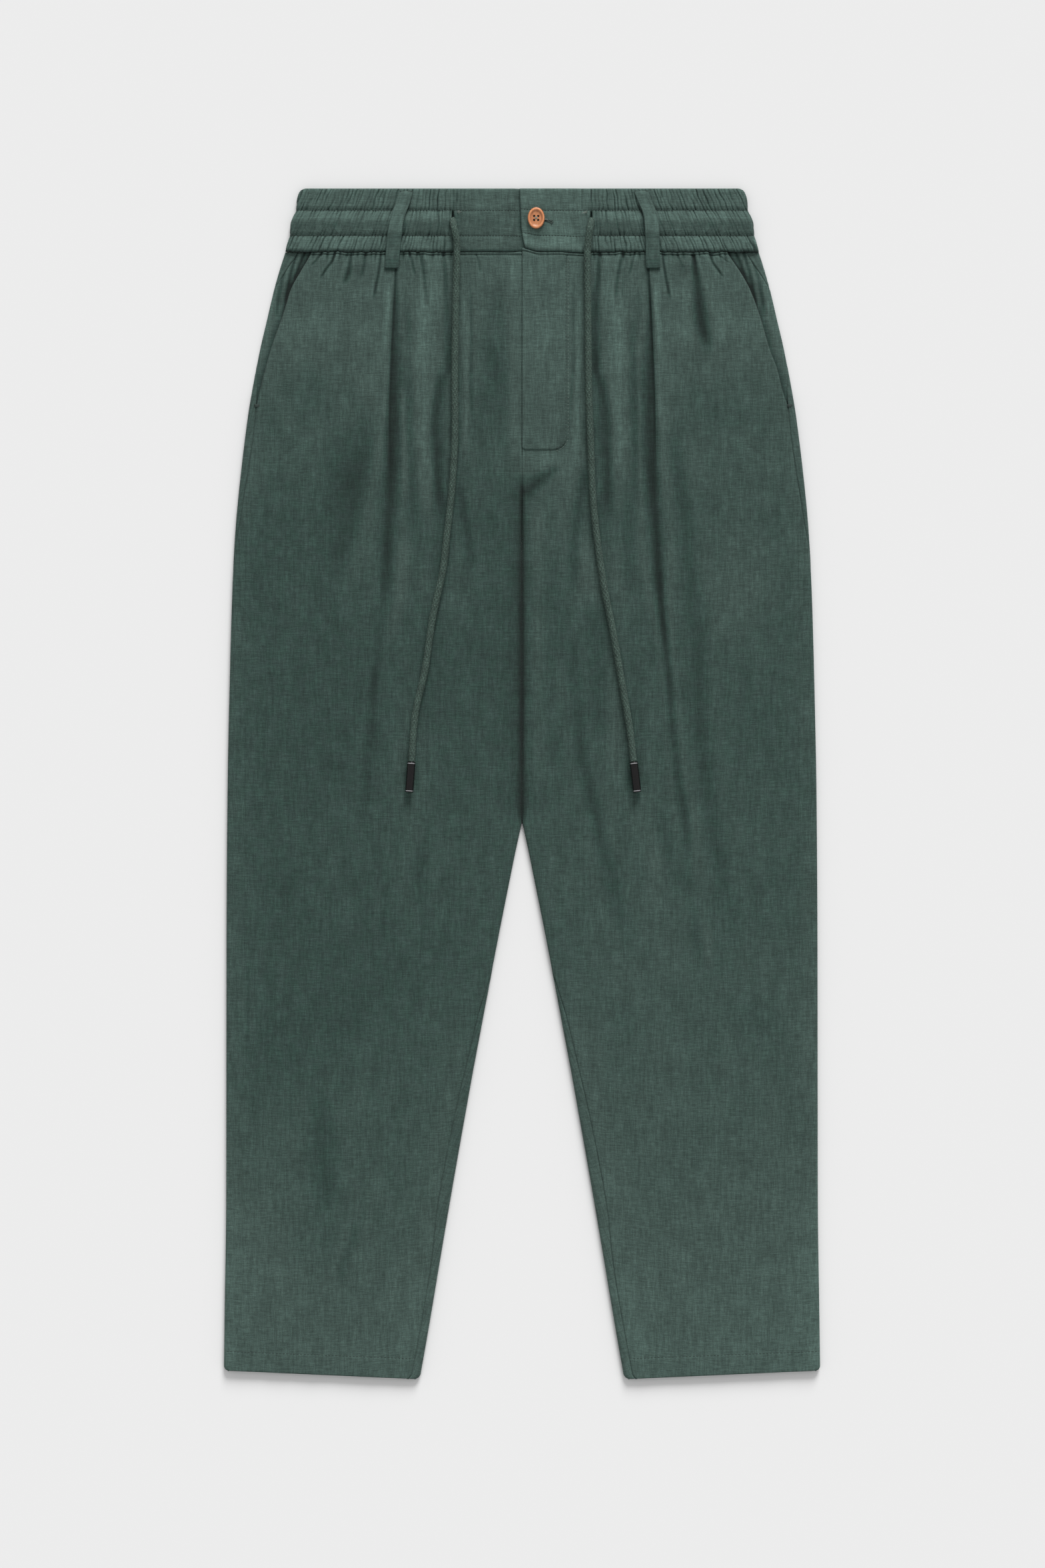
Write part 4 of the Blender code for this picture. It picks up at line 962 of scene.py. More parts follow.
def fill(tree, item, **inputs):
    """Sets a node's inputs or links them. An input goes by its name, or by its place as in0 or in1."""
    for key, value in inputs.items():
        by_place = key.startswith("in") and key[2:].isdigit()
        socket = item.inputs[int(key[2:]) if by_place else key.replace("_", " ")]
        if isinstance(value, bpy.types.NodeSocket):
            tree.links.new(value, socket)
        else:
            socket.default_value = value


def node(tree, kind, settings=None, output=0, **inputs):
    """Adds a shader node with its settings and inputs, and gives one of its outputs."""
    item = tree.nodes.new(f"ShaderNode{kind}")
    for key, value in (settings or {}).items():
        setattr(item, key, value)
    fill(tree, item, **inputs)
    return item.outputs[output]


def new_material(name):
    """A node material with its node tree and its Principled shader."""
    material = bpy.data.materials.new(name)
    material.use_nodes = True
    tree = material.node_tree
    return material, tree, tree.nodes["Principled BSDF"]


def uneven(tree, cut, wide, tall, detail, seed):
    """A pattern whose grains are this wide and tall in millimetres on the cloth."""
    scale = (1 / (wide * MM), 1 / (tall * MM), 1.0)
    spread = node(tree, "Mapping", Vector=cut, Scale=scale, Location=(seed, seed, 0))
    flat = {"noise_dimensions": "2D"}
    return node(tree, "TexNoise", flat, "Fac", Vector=spread, Scale=1.0, Detail=detail, Roughness=0.55)


def varied(tree, light, pattern, low, high, least, most):
    """A lightness times least where a pattern is low, rising to times most where it is high."""
    factor = node(
        tree, "MapRange", SMOOTH, Value=pattern, From_Min=low, From_Max=high, To_Min=least, To_Max=most
    )
    return node(tree, "Math", {"operation": "MULTIPLY"}, in0=light, in1=factor)


def blended(tree, first, second, pattern, low, high, most=1.0):
    """A colour that goes from the first to the second as a pattern rises."""
    share = node(
        tree, "MapRange", SMOOTH, Value=pattern, From_Min=low, From_Max=high, To_Min=0.0, To_Max=most
    )
    return node(tree, "Mix", {"data_type": "RGBA"}, 2, in0=share, in6=first, in7=second)


def mottled(tree, colour, grain, detail, darkest, lightest):
    """A colour with mottling whose grains are this many millimetres across, and the mottling itself."""
    place = node(tree, "TexCoord", output="Object")
    noise = node(tree, "TexNoise", None, "Fac", Vector=place, Scale=1 / (grain * MM), Detail=detail)
    light = node(
        tree, "MapRange", SMOOTH, Value=noise, From_Min=0.3, From_Max=0.7, To_Min=darkest, To_Max=lightest
    )
    return node(tree, "VectorMath", {"operation": "SCALE"}, in0=colour[:3], Scale=light), noise


def woven_linen(name, colour, grey, lit_grey):
    """Garment-washed plain-woven linen: matt, with uneven threads that show as slubs both ways.

    Real threads lie 0.45 mm apart. They are drawn 0.9 mm apart here, as coarse as they need to show.
    """
    material, tree, shader = new_material(name)
    cut = node(tree, "UVMap", {"uv_map": "cut"})
    shade = node(tree, "Attribute", {"attribute_name": "shade"}, "Fac")
    patterns = [uneven(tree, cut, *row[:-1]) for row in LINEN_PATTERNS]
    # The shade attribute holds painted light and shade, which scales the colour; the patterns below are the
    # weave's own
    light = shade
    for pattern, (*_, change) in zip(patterns, LINEN_PATTERNS):
        light = varied(tree, light, pattern, 0.25, 0.75, 1 - change, 1 + change)
    patch = uneven(tree, cut, 9.0, 9.0, 2.0, 7.7)
    dyed = blended(tree, colour, grey, patch, 0.3, 0.7)
    # Painted light: the colour turns greyer where the cloth is painted lighter
    dyed = blended(tree, dyed, lit_grey, shade, 0.8, 1.3)
    warp, weft, *_, grain = patterns
    height = node(tree, "Math", {"operation": "ADD"}, in0=warp, in1=weft)
    height = node(tree, "Math", {"operation": "ADD"}, in0=height, in1=grain)
    fill(
        tree,
        shader,
        Base_Color=node(tree, "VectorMath", {"operation": "SCALE"}, in0=dyed, Scale=light),
        Normal=node(tree, "Bump", Height=height, Strength=0.5, Distance=0.16 * MM),
        Roughness=0.92,
        Specular_IOR_Level=0.25,
        Sheen_Weight=0.06,
        Sheen_Roughness=0.5,
    )
    return material


def sewing_thread(name, colour):
    """Spun polyester sewing thread, dyed to match: a faint sheen and a tight twist.

    The twist repeats every 0.2 mm. It is drawn 0.4 mm long, as coarse as it needs to show.
    """
    material, tree, shader = new_material(name)
    twisted, _ = mottled(tree, colour, 0.4, 1.0, 0.8, 1.2)
    fill(tree, shader, Base_Color=twisted, Roughness=0.7, Sheen_Weight=0.1)
    return material


def cotton_braid(name, colour, fleck):
    """Tubular braided cotton cord: matt, with crossing strands and pale flecks of raw fibre.

    Each strand is about 1.1 mm wide, and the flecks on it are 0.8 by 1.3 mm.
    """
    material, tree, shader = new_material(name)
    cut = node(tree, "UVMap", {"uv_map": "cut"})
    shade = node(tree, "Attribute", {"attribute_name": "shade"}, "Fac")
    flecks = uneven(tree, cut, 0.8, 1.3, 2.0, 2.2)
    patches = uneven(tree, cut, 5.0, 9.0, 2.0, 4.2)
    dyed = blended(tree, colour, fleck, flecks, 0.52, 0.74, 0.85)
    # The shade attribute carries the painted shade between the braid's strands
    light = varied(tree, shade, patches, 0.3, 0.7, 0.88, 1.12)
    light = varied(tree, light, flecks, 0.28, 0.5, 0.66, 1.0)
    fill(
        tree,
        shader,
        Base_Color=node(tree, "VectorMath", {"operation": "SCALE"}, in0=dyed, Scale=light),
        Normal=node(tree, "Bump", Height=flecks, Strength=0.6, Distance=0.3 * MM),
        Roughness=0.92,
    )
    return material


def corozo(name, colour, pale):
    """Turned and tumbled corozo nut: fine fibre rings, with a painted highlight on the rim and painted shade
    in the recess and round the edge.

    The fibres show as streaks of about 1.1 by 4.5 mm, with finer ones in them.
    """
    material, tree, shader = new_material(name)
    place = node(tree, "TexCoord", output="Object")
    shade = node(tree, "Attribute", {"attribute_name": "shade"}, "Fac")
    streak = [1 / (size * MM) for size in (1.111, 4.545, 2.5)]
    stretch = node(tree, "Mapping", Vector=place, Scale=streak)
    fibre = node(tree, "TexNoise", None, "Fac", Vector=stretch, Scale=1.0, Detail=3.0)
    tan = blended(tree, colour, pale, fibre, 0.35, 0.7, 0.6)
    rough = node(tree, "MapRange", SMOOTH, Value=fibre, From_Min=0.3, From_Max=0.7, To_Min=0.36, To_Max=0.5)
    # The shade attribute carries the painted highlight and shade of the rim, the recess and the edge
    shown = node(tree, "VectorMath", {"operation": "SCALE"}, in0=tan, Scale=shade)
    fill(tree, shader, Base_Color=shown, Roughness=rough, IOR=1.54)
    return material


def lacquered_metal(name, colour):
    """Die-cast zinc under black lacquer: glossy, with faint ripples 2.4 mm apart in the dipped coat."""
    material, tree, shader = new_material(name)
    shown, coat = mottled(tree, colour, 2.381, 2.0, 0.8, 1.25)
    rough = node(tree, "MapRange", SMOOTH, Value=coat, From_Min=0.3, From_Max=0.7, To_Min=0.18, To_Max=0.3)
    bump = node(tree, "Bump", Height=coat, Strength=0.2, Distance=0.1 * MM)
    fill(tree, shader, Base_Color=shown, Roughness=rough, Specular_IOR_Level=0.35, Normal=bump)
    return material


def polished_metal(name, colour):
    """The same zinc where the lacquer is rubbed off the raised rims: bright, finely scratched.

    The scratches are hair-fine. They are drawn 0.33 mm apart, as coarse as they need to show.
    """
    material, tree, shader = new_material(name)
    scratched, _ = mottled(tree, colour, 0.3333, 2.0, 0.8, 1.1)
    fill(tree, shader, Base_Color=scratched, Metallic=1.0, Roughness=0.3)
    return material


def plain_paper(name, colour):
    """Seamless background paper: matt and almost even, with a tooth drawn 1.1 mm coarse to show."""
    material, tree, shader = new_material(name)
    toothed, _ = mottled(tree, colour, 1.111, 2.0, 0.997, 1.003)
    fill(tree, shader, Base_Color=toothed, Roughness=0.95, Specular_IOR_Level=0.0)
    return material


# What makes each material, and which of the user's colours it takes
FINISHES = {
    "woven linen": (woven_linen, "linen", "linen_slub", "linen_worn"),
    "sewing thread": (sewing_thread, "thread"),
    "pale thread": (sewing_thread, "pale_thread"),
    "cotton braid": (cotton_braid, "cord", "cord_fleck"),
    "corozo nut": (corozo, "button", "button_pale"),
    "black lacquered zinc": (lacquered_metal, "aglet"),
    "polished zinc": (polished_metal, "aglet_rim"),
    "background paper": (plain_paper, "paper"),
}


def finish(name):
    """The named material, made once from the user's colours."""
    if name in bpy.data.materials:
        return bpy.data.materials[name]
    maker, *keys = FINISHES[name]
    return maker(name, *[tuple(getattr(bpy.context.scene.trousers_colours, key)) for key in keys])


def colour_property(label, description, code):
    return FloatVectorProperty(
        name=label, description=description, default=linear(code), subtype="COLOR", size=4, min=0, max=1
    )


def length_property(label, description, size, low, high):
    """A length, given here in millimetres and kept in metres as Blender keeps lengths."""
    return FloatProperty(
        name=label,
        description=description,
        default=size * MM,
        min=low * MM,
        max=high * MM,
        unit="LENGTH",
        precision=5,
    )


class TrousersColours(bpy.types.PropertyGroup):
    linen: colour_property("Linen", "Dyed linen of every panel", "#334942")
    linen_slub: colour_property("Linen slub", "Greyer thick threads in the linen", "#364944")
    # Greyer colour that the linen takes where it is painted lighter, as painted light
    linen_worn: colour_property("Worn linen", "Linen where washing has faded the dye", "#384843")
    thread: colour_property("Thread", "Sewing thread that matches the linen", "#283833")
    pale_thread: colour_property("Pale thread", "Thread ends at the buttonhole and the slots", "#75837B")
    cord: colour_property("Cord", "Braided cotton of the drawstrings", "#364A42")
    cord_fleck: colour_property("Cord fleck", "Pale fibres in the cord", "#5C6E65")
    button: colour_property("Button", "Corozo of the button", "#C27A4E")
    button_pale: colour_property("Button grain", "Paler fibres of the button", "#DC9A6A")
    aglet: colour_property("Aglet", "Black lacquer of the cord ends", "#0B090A")
    aglet_rim: colour_property("Aglet rim", "Bright metal of the rims", "#B9B9BC")
    paper: colour_property("Paper", "Background paper on the floor", "#EBEBEB")


class TrousersSizes(bpy.types.PropertyGroup):
    cloth_thickness: length_property("Cloth thickness", "Thickness of one layer", 0.7, 0.3, 1.2)
    gather_pitch: length_property("Gather pitch", "Distance between the waistband's gathers", 3.3, 2.0, 8.0)
    gather_depth: length_property("Gather depth", "Depth of the waistband's gathers", 1.0, 0.0, 1.5)
    stitch_length: length_property("Stitch length", "Length of one hem stitch", 2.3, 1.5, 4.0)
    fold_depth: FloatProperty(
        name="Fold depth",
        description="How strongly the fronts fold",
        default=1.0,
        min=0.0,
        max=1.5,
        subtype="FACTOR",
    )
    lens: FloatProperty(
        name="Lens",
        description="Focal length of the camera",
        default=100.0,
        min=35.0,
        max=200.0,
        unit="CAMERA",
    )


def chosen_length(name):
    """One of the user's lengths, in millimetres."""
    return getattr(bpy.context.scene.trousers_sizes, name) / MM


def rows_of(drops):
    """A panel's rows of points, with how far each is sunk, down to the turn-under of its hem."""
    return [*((drop, 0.0) for drop in drops), *HEM_TURN]


def hem_line(points, drops):
    """The row of points that the hem's stitches run along."""
    return points[int(np.argmin(np.abs(drops - HEM_STITCH)))]


def front_row(side, drop, sunk):
    """Out and height of the points across a front at one drop."""

    def sewn_edge(s, middle, towards, reach, steps):
        flat, _ = on_skin(s, middle, towards, reach, FRONT_LEVEL, FRONT_LEVEL, 1)
        level = FRONT_LEVEL + front_rise(side, flat, drop)
        return on_skin(s, middle, towards, reach, FRONT_LEVEL, level, 1, sunk + roll(steps, *SEAM_ROLL))

    inset = hem_inset(drop)
    reach = CROTCH_REACH + (SIDE_REACH - CROTCH_REACH) * eased(*CROTCH_DROPS, drop)
    missing = missing_turn(drop, FRONT_GROOVE_DROPS)
    centre = along(INNER_EDGE, drop) + inset + reach * math.cos(missing)
    start = max(QUARTER * missing / (math.pi / 2), wrap_to_skin(along(INSEAM_WRAP, drop), reach))
    near = sewn_edge(start + NEAR_STEPS, centre, -1, reach, NEAR_STEPS)

    steps = NEAR_STEPS[::-1]
    if drop < POCKET_FOOT:
        out = along(POCKET_EDGE, drop, SIDE_COLUMN[side]) - steps
        far = out, front_top(side, out, drop) - sunk - roll(steps, *POCKET_ROLL)
    else:
        start = wrap_to_skin(along(SIDE_WRAP, drop), SIDE_REACH)
        far = sewn_edge(start + steps, along(OUTLINE, drop) - inset - SIDE_REACH, 1, SIDE_REACH, steps)

    edge, step = along(PLEAT, drop), along(PLEAT, drop, 2)
    soft = eased(*PLEAT_SOFTENS, drop)
    fold = edge + PLEAT_OFFSETS * (1 + 3 * soft) + PLEAT_OVERHANG * (1 - soft) * step / 1.4
    low = -PLEAT_SINK * step * bell(fold - edge, PLEAT_FRONT)
    fold_rise = low + PLEAT_SHARES * (step * bell(fold - edge, PLEAT_BACK) - low)
    before = np.linspace(near[0][-1], fold[0], INNER_COLUMNS)[1:-1]
    behind = np.linspace(fold[-1], far[0][0], OUTER_COLUMNS)[1:-1]
    out = np.concatenate((before, fold, behind))
    pleat = np.concatenate((pleat_heights(before, drop), fold_rise, pleat_heights(behind, drop)))
    z = FRONT_LEVEL + front_rise(side, out, drop) + pleat - sunk
    return np.concatenate((near[0], out, far[0])), np.concatenate((near[1], z, far[1]))


def front_shade(side, out, drop):
    """Painted light and shade of each point of a front: painted light on ridges, painted shade in troughs and
    against folds.
    """
    light = painted_leg_light(side, out, drop)
    light = light + np.clip(CREASE_LIGHT * crease_sum(CREASES[side], out, drop)[1], *CREASE_CHANGES)

    # Painted shade at the pleat's fold edge, and painted light on the strip behind it
    from_edge, step = out - along(PLEAT, drop), along(PLEAT, drop, 2)
    wide = 1 + 3 * eased(*PLEAT_SOFTENS, drop)
    light = light + step * (0.1 * bell(from_edge - 4.5, 3.2) - 0.4 / wide * bell(from_edge + 1.1, 0.9 * wide))

    # Painted shadow beside the drawstring and its aglet, and painted light where a value is below 0
    distance = cord_bed(side, out, drop)[0]
    beside = bell(np.maximum(np.abs(distance) - CORD_DIAMETER / 2, 0), 1.3)
    light = light - beside * np.where(distance < 0, *CORD_SHADOW[side]) * between(*CORD_SHADOW_DROPS, drop)
    light = light - 0.3 * bell(np.abs(distance) - 4.4, 1.6) * between(*AGLET_SHADOW_DROPS, drop)

    # Along the centre seam: painted light on the seam's ridge above, painted shade in the groove below
    groove = (0.95 * eased(240, 258, drop) + 0.05 * eased(272, 330, drop)) * (1 - eased(536, 548, drop))
    light = light - groove * (0.42 * bell(out, 2.6) + GROOVE_SHADOW[side] * bell(out, 8.0))
    light = light + (0.12 * bell(out, 4.0) + 0.2 * bell(out, 0.9)) * between(*SEAM_LIGHT_DROPS, drop)

    # Painted shadow under the belt loop's end, painted shade in the small gathers, and painted light and
    # shade along the waist seam
    from_loop = np.abs(out - loop_middle(side, LOOP_END))
    light = light - 1.05 * bell(drop - LOOP_END - 0.9, 0.8) * (1 - eased(5.4, 6.6, from_loop))
    pulled = small_gathers(side, out, drop)
    light = light - 0.9 * pulled + 0.14 * bell(drop - 60.5, 2.2) * (1 - pulled) * eased(*PLAIN_CENTRE, out)
    from_seam = drop - foot_shift(side, out)
    light = light - 0.7 * bell(from_seam - PIPING_FOOT, 0.45) * (0.6 + 0.6 * pulled)
    light = light + 0.25 * bell(from_seam - PIPING_TOP, 0.4) - 0.4 * (from_seam < PIPING_START)
    # Painted shadow along the pocket's edge
    if drop < POCKET_FOOT:
        light = light - 0.35 * bell(along(POCKET_EDGE, drop, SIDE_COLUMN[side]) - out, 0.7)
    return np.maximum(light, DARKEST)


def make_front(side):
    points, shades = [], []
    for drop, sunk in rows_of(FRONT_DROPS):
        out, z = front_row(side, drop, sunk)
        wobble = (1 - eased(60, 80, drop)) * seam_wobble(side * out)
        shades.append(front_shade(side, out, drop))
        points.append(placed(side, out, hem_slant(drop, out) + wobble, z))
    anchor = (60, len(NEAR_STEPS) + INNER_COLUMNS)
    item = cloth(named("linen_front", side), points, shades, side == RIGHT, anchor)
    sheet_of(item, "front", named("front", side), named("back", side), named("pocket_facing", side))
    return hem_line(points, FRONT_DROPS)


def make_centre_seam():
    """The seam's rolled allowance at the foot of the groove between the two legs, painted dark as the
    groove's shade.
    """
    drops, turn = np.linspace(60.0, 544.5, 120)[:, None], np.linspace(0, math.tau, 10, endpoint=False)
    widths = 0.45 * np.sqrt(np.clip((545.0 - drops) / 3.0, 0.05, 1))
    y = np.repeat(y_at(drops), len(turn), axis=1)
    rings = np.stack((widths * np.cos(turn), y, ALLOWANCE_LEVEL + widths * np.sin(turn)), axis=-1)
    item = tube("centre_seam_allowance", rings, ["woven linen"], np.full(y.shape, ALLOWANCE_PAINTED_SHADE))
    dress(item, "linen")


def side_level(drop):
    """Height of the rounded side edge: thinner beside the pocket, where the facing is the skin."""
    return POCKET_LEVEL + (FRONT_LEVEL - POCKET_LEVEL) * eased(*FACING_EASING, drop)


def back_row(side, drop, sunk):
    """Out and height of a back's points: over the inner edge, underneath and over the side edge."""
    inset = hem_inset(drop)
    level = side_level(drop)
    missing = missing_turn(drop, BACK_GROOVE_DROPS)
    near_centre = along(INNER_EDGE, drop) + inset + SIDE_REACH * math.cos(missing)
    wrapped = wrap_to_skin(along(INSEAM_WRAP, drop), SIDE_REACH)
    end = wrapped if missing == 0 else -QUARTER * missing / (math.pi / 2)
    steps = np.concatenate((NEAR_STEPS[:5], np.linspace(2.4, max(end + QUARTER, 2.8), 7)))
    turned = sunk + roll(steps, SEAM_ROLL[0] if missing == 0 else 0.5, SEAM_ROLL[1])
    near = on_skin(end - steps, near_centre, -1, SIDE_REACH, FRONT_LEVEL, FRONT_LEVEL, -1, turned)

    far_centre = along(OUTLINE, drop) - inset - SIDE_REACH
    end = wrap_to_skin(along(SIDE_WRAP, drop), SIDE_REACH)
    steps = np.concatenate((NEAR_STEPS[:5], np.linspace(2.4, max(end + QUARTER, 2.8), 9)))[::-1]
    turned = sunk + roll(steps, *SEAM_ROLL)
    far = on_skin(end - steps, far_centre, 1, SIDE_REACH, level, level, -1, turned)

    under = np.linspace(near[0][-1], far[0][0], BACK_COLUMNS)[1:-1]
    hollow = np.clip(crease_sum(BACK_CREASES[side], under, drop)[0], 0, 1.6)
    hollow = hollow + np.clip(0.15 + 0.15 * ripple(under, drop, 40, 90, seed=31 + side), 0, 0.4)
    hollow = hollow * eased(4, 14, under - near[0][-1]) * eased(4, 14, far[0][0] - under)
    return np.concatenate((near[0], under, far[0])), np.concatenate((near[1], hollow + sunk, far[1]))


def make_back(side):
    points, shades = [], []
    for drop, sunk in rows_of(BACK_DROPS):
        out, z = back_row(side, drop, sunk)
        # Painted light of the leg, with painted shade at the waist seam and in the back's creases
        light = painted_leg_light(side, out, drop) + 0.3 * np.minimum(along(PIPING, drop), 0)
        shades.append(light + crease_sum(BACK_CREASES[side], out, drop)[1])
        points.append(placed(side, out, hem_slant(drop, out), z))
    item = cloth(named("linen_back", side), points, shades, side == LEFT, (30, 24))
    sheet_of(item, "back", named("back", side))
    return hem_line(points, BACK_DROPS)


def make_facing(side):
    """The pocket's facing, one layer below the front, with soft diagonal creases near the waist."""
    points, shades, cuts = [], [], []
    for drop in np.linspace(54.5, FACING_FOOT, 72):
        centre = along(OUTLINE, drop) - SIDE_REACH
        start = wrap_to_skin(along(SIDE_WRAP, drop), SIDE_REACH)
        edge = along(POCKET_EDGE, min(drop, POCKET_FOOT), SIDE_COLUMN[side])
        run = QUARTER + centre - (edge - FACING_OVERLAP)
        steps = np.concatenate((NEAR_STEPS[:5], np.linspace(2.2, run - start, 34)))
        s = start + steps
        flat, _ = on_skin(s, centre, 1, SIDE_REACH, POCKET_LEVEL, POCKET_LEVEL, 1)
        crease, darker = crease_sum(FACING_CREASES, flat + (3 if side == LEFT else 0), drop)
        top = POCKET_LEVEL + 0.12 * ripple(flat, drop, 16, 30, seed=61 + side) + crease
        out, z = on_skin(s, centre, 1, SIDE_REACH, POCKET_LEVEL, top, 1, roll(steps, 0.5, 0.5))
        points.append(placed(side, out, drop, z))
        # Painted shadow under the front's pocket edge, and painted shade in the facing's creases and at the
        # waist seam
        beside = np.maximum(out - edge, 0)
        deep = (0.5 - 0.15 * eased(110, 150, drop) + 0.7 * bell(drop - 86, 17)) * bell(beside, 2.3)
        deep = deep + (0.22 + 0.34 * (1 - eased(70, 95, drop))) * bell(beside, 6.0)
        light = painted_leg_light(side, out, drop) + CREASE_LIGHT * darker - deep
        shades.append(np.maximum(light + 0.16 * np.minimum(along(PIPING, drop), 0), 0.2))
        cuts.append(np.stack(np.broadcast_arrays(flat, drop), axis=-1))
    item = cloth(named("linen_pocket_facing", side), points, shades, side == LEFT, cut=cuts)
    sheet_of(item, "pocket_facing", named("pocket_facing", side), named("back", side))


def band_drops():
    """Drops of the waistband's rows of points, with how far each sinks at its top and bottom turns."""
    drops = [*np.arange(2.2, 17.4, 1.25)]
    for row, last in zip(STITCH_ROWS, (39.0, 52.6)):
        drops += [row - 0.9, row - 0.45, row, row + 0.45, row + 0.9]
        drops += [*np.arange(row + 1.7, last, 1.35)]
    return [*BAND_TOP_TURN, *[(drop, 0.0) for drop in drops], *BAND_FOOT_TURN]


def make_elastic(side):
    """One gathered half of the waistband: over the front, round the side and under to centre back."""
    depth = chosen_length("gather_depth")
    points, shades, seams = [], [], []
    for drop, sunk in band_drops():
        centre = along(OUTLINE, drop) - SIDE_REACH
        start = CENTRE_SEAM + SEAM_GAP / 2 + SLOT_OUTWARDS * slot_share(drop)
        edge = start + BAND_LIP
        front = np.concatenate((edge, np.linspace(edge[-1], centre, BAND_FRONT_COLUMNS)[1:-1]))
        turn = np.linspace(QUARTER, -QUARTER, BAND_SIDE_COLUMNS)
        under = -QUARTER - np.linspace(0, centre - SEAM_GAP / 2, BAND_BACK_COLUMNS)[1:]
        s = np.concatenate((QUARTER + centre - front, turn, under))
        flat, _ = on_skin(s, centre, 1, SIDE_REACH, BAND_LEVEL, BAND_LEVEL, 0)
        travel = QUARTER + centre - CENTRE_SEAM - s
        valley = gathers(side, travel, drop)
        dents = stitch_dents(travel, drop)
        edges = eased(0, 0.06, np.abs(s - s[-1]) / 30)
        lips = 0.9 * bell(flat - start, 0.6) * (s > 0) * (slot_share(drop) > 0)
        inward = sunk + depth * (0.75 * valley - 0.15) * edges + 0.3 * dents + lips
        inward = np.where(s < 0, np.maximum(inward, 0.02), inward)
        top = np.where(s > 0, gathered_top(flat, drop), BAND_LEVEL)
        out, z = on_skin(s, centre, 1, SIDE_REACH, BAND_LEVEL, top, 0, inward)
        points.append(placed(side, out, drop + eased(50, 55, drop) * seam_wobble(side * out), z))
        # Painted light of the rows, with painted shade at the turns, in the gathers and stitch dents, beside
        # the loops and round the slot
        light = along(BAND_LIGHT, drop) + 0.06 * ripple(out, drop, 13, 22, seed=71) - 0.06 * sunk
        light = light * (1.06 - 0.8 * valley - 0.45 * dents * (0.35 + valley))
        light = light * (1 - 0.36 * loop_shadow(side, flat, drop) * (s > 0))
        shades.append(light * (1 - slot_shadow(flat, drop) * (s > 0)))
        if drop in STITCH_ROWS:
            seams.append(points[-1][: len(front) + len(turn)])
    item = cloth(named("linen_waistband_elastic", side), points, shades, side == RIGHT, (20, 0))
    sheet_of(item, "waistband_elastic", named("waistband_elastic", side), named("front", side))
    return seams


def make_plain(side):
    """A plain centre piece of the waistband. The left one laps over the right one's extension."""
    depth = chosen_length("gather_depth")
    points, shades, seams = [], [], []
    for drop, sunk in band_drops():
        end = CENTRE_SEAM - SEAM_GAP / 2 - SLOT_INWARDS * slot_share(drop)
        free = along(OVERLAP_EDGE, drop)
        if side == RIGHT:
            x = np.concatenate((-end + BAND_LIP, np.linspace(-end + BAND_LIP[-1], UNDERLAP_END, 84)[1:]))
            shortened = np.full_like(x, drop)
        else:
            middle = np.linspace(free + BAND_LIP[-1], end - BAND_LIP[-1], 72)[1:-1]
            x = np.concatenate((free + BAND_LIP, middle, (end - BAND_LIP)[::-1]))
            shortened = drop * overlap_foot(x) / WAIST_DROP
        out = np.abs(x)
        valley = gathers(side, out - CENTRE_SEAM, drop) * eased(49, 57, out)
        top_seam = bell(out - TOP_SEAM_OUT[side], 0.5) * (drop < 17.5)
        dents = stitch_dents(out, drop)
        lips = 0.9 * bell(end - out, 0.6) * (slot_share(drop) > 0)
        edge = roll(x - free, 0.9, 0.5) if side == LEFT else 0.0
        soft = 0.1 * ripple(x, drop, 14, 30, seed=81 + side) + 0.08 * ripple(x, drop, 26, 5, seed=84 + side)
        z = centre_level(side, x, drop) - sunk - depth * 0.8 * valley - 0.25 * dents - lips - edge
        points.append(placed(1, x, shortened, z + soft - 0.45 * top_seam))
        # Painted shadow of the overlap on the underlap, and painted shade in the gathers, stitch dents and
        # short top seams
        under = (side == RIGHT) * 0.28 * bell(x - free, 2.2)
        light = along(BAND_LIGHT, drop, 1 + SIDE_COLUMN[side]) + 0.05 * ripple(x, drop, 24, 12, seed=87)
        light = (light - 0.06 * sunk) * (1.03 - 0.7 * valley - 0.34 * dents - 0.4 * top_seam - under)
        shades.append(light * (1 - slot_shadow(out, drop)))
        if drop in STITCH_ROWS:
            seams.append(points[-1] if side == LEFT else points[-1][:UNDERLAP_STITCHED])
    name = named("waistband_plain", side)
    rests = ["front_right"] if side == RIGHT else ["waistband_plain_right", "front_left"]
    sheet_of(cloth(f"linen_{name}", points, shades, False, (20, 0)), name, name, *rests)
    return seams


def fly_width(drop):
    """Where the placket ends on its curved outer edge."""
    over = min(max(drop - (FLY_FOOT - FLY_CORNER), 0), FLY_CORNER)
    return FLY_WIDTH - FLY_CORNER + math.sqrt(FLY_CORNER**2 - over**2)


def fly_height(out, drop):
    """Top of the placket: its inner and lower edges stand proud, and its sewn side sinks to the front."""
    sewn_side = 1 - 0.75 * eased(3.5, 0.2, fly_width(drop) - out)
    lift = FLY_LIFT * (0.5 + 0.5 * eased(70, 120, drop)) * sewn_side
    return front_top(LEFT, out, max(drop, 60.0)) + lift + 0.06 * ripple(out, drop, 12, 34, seed=91)


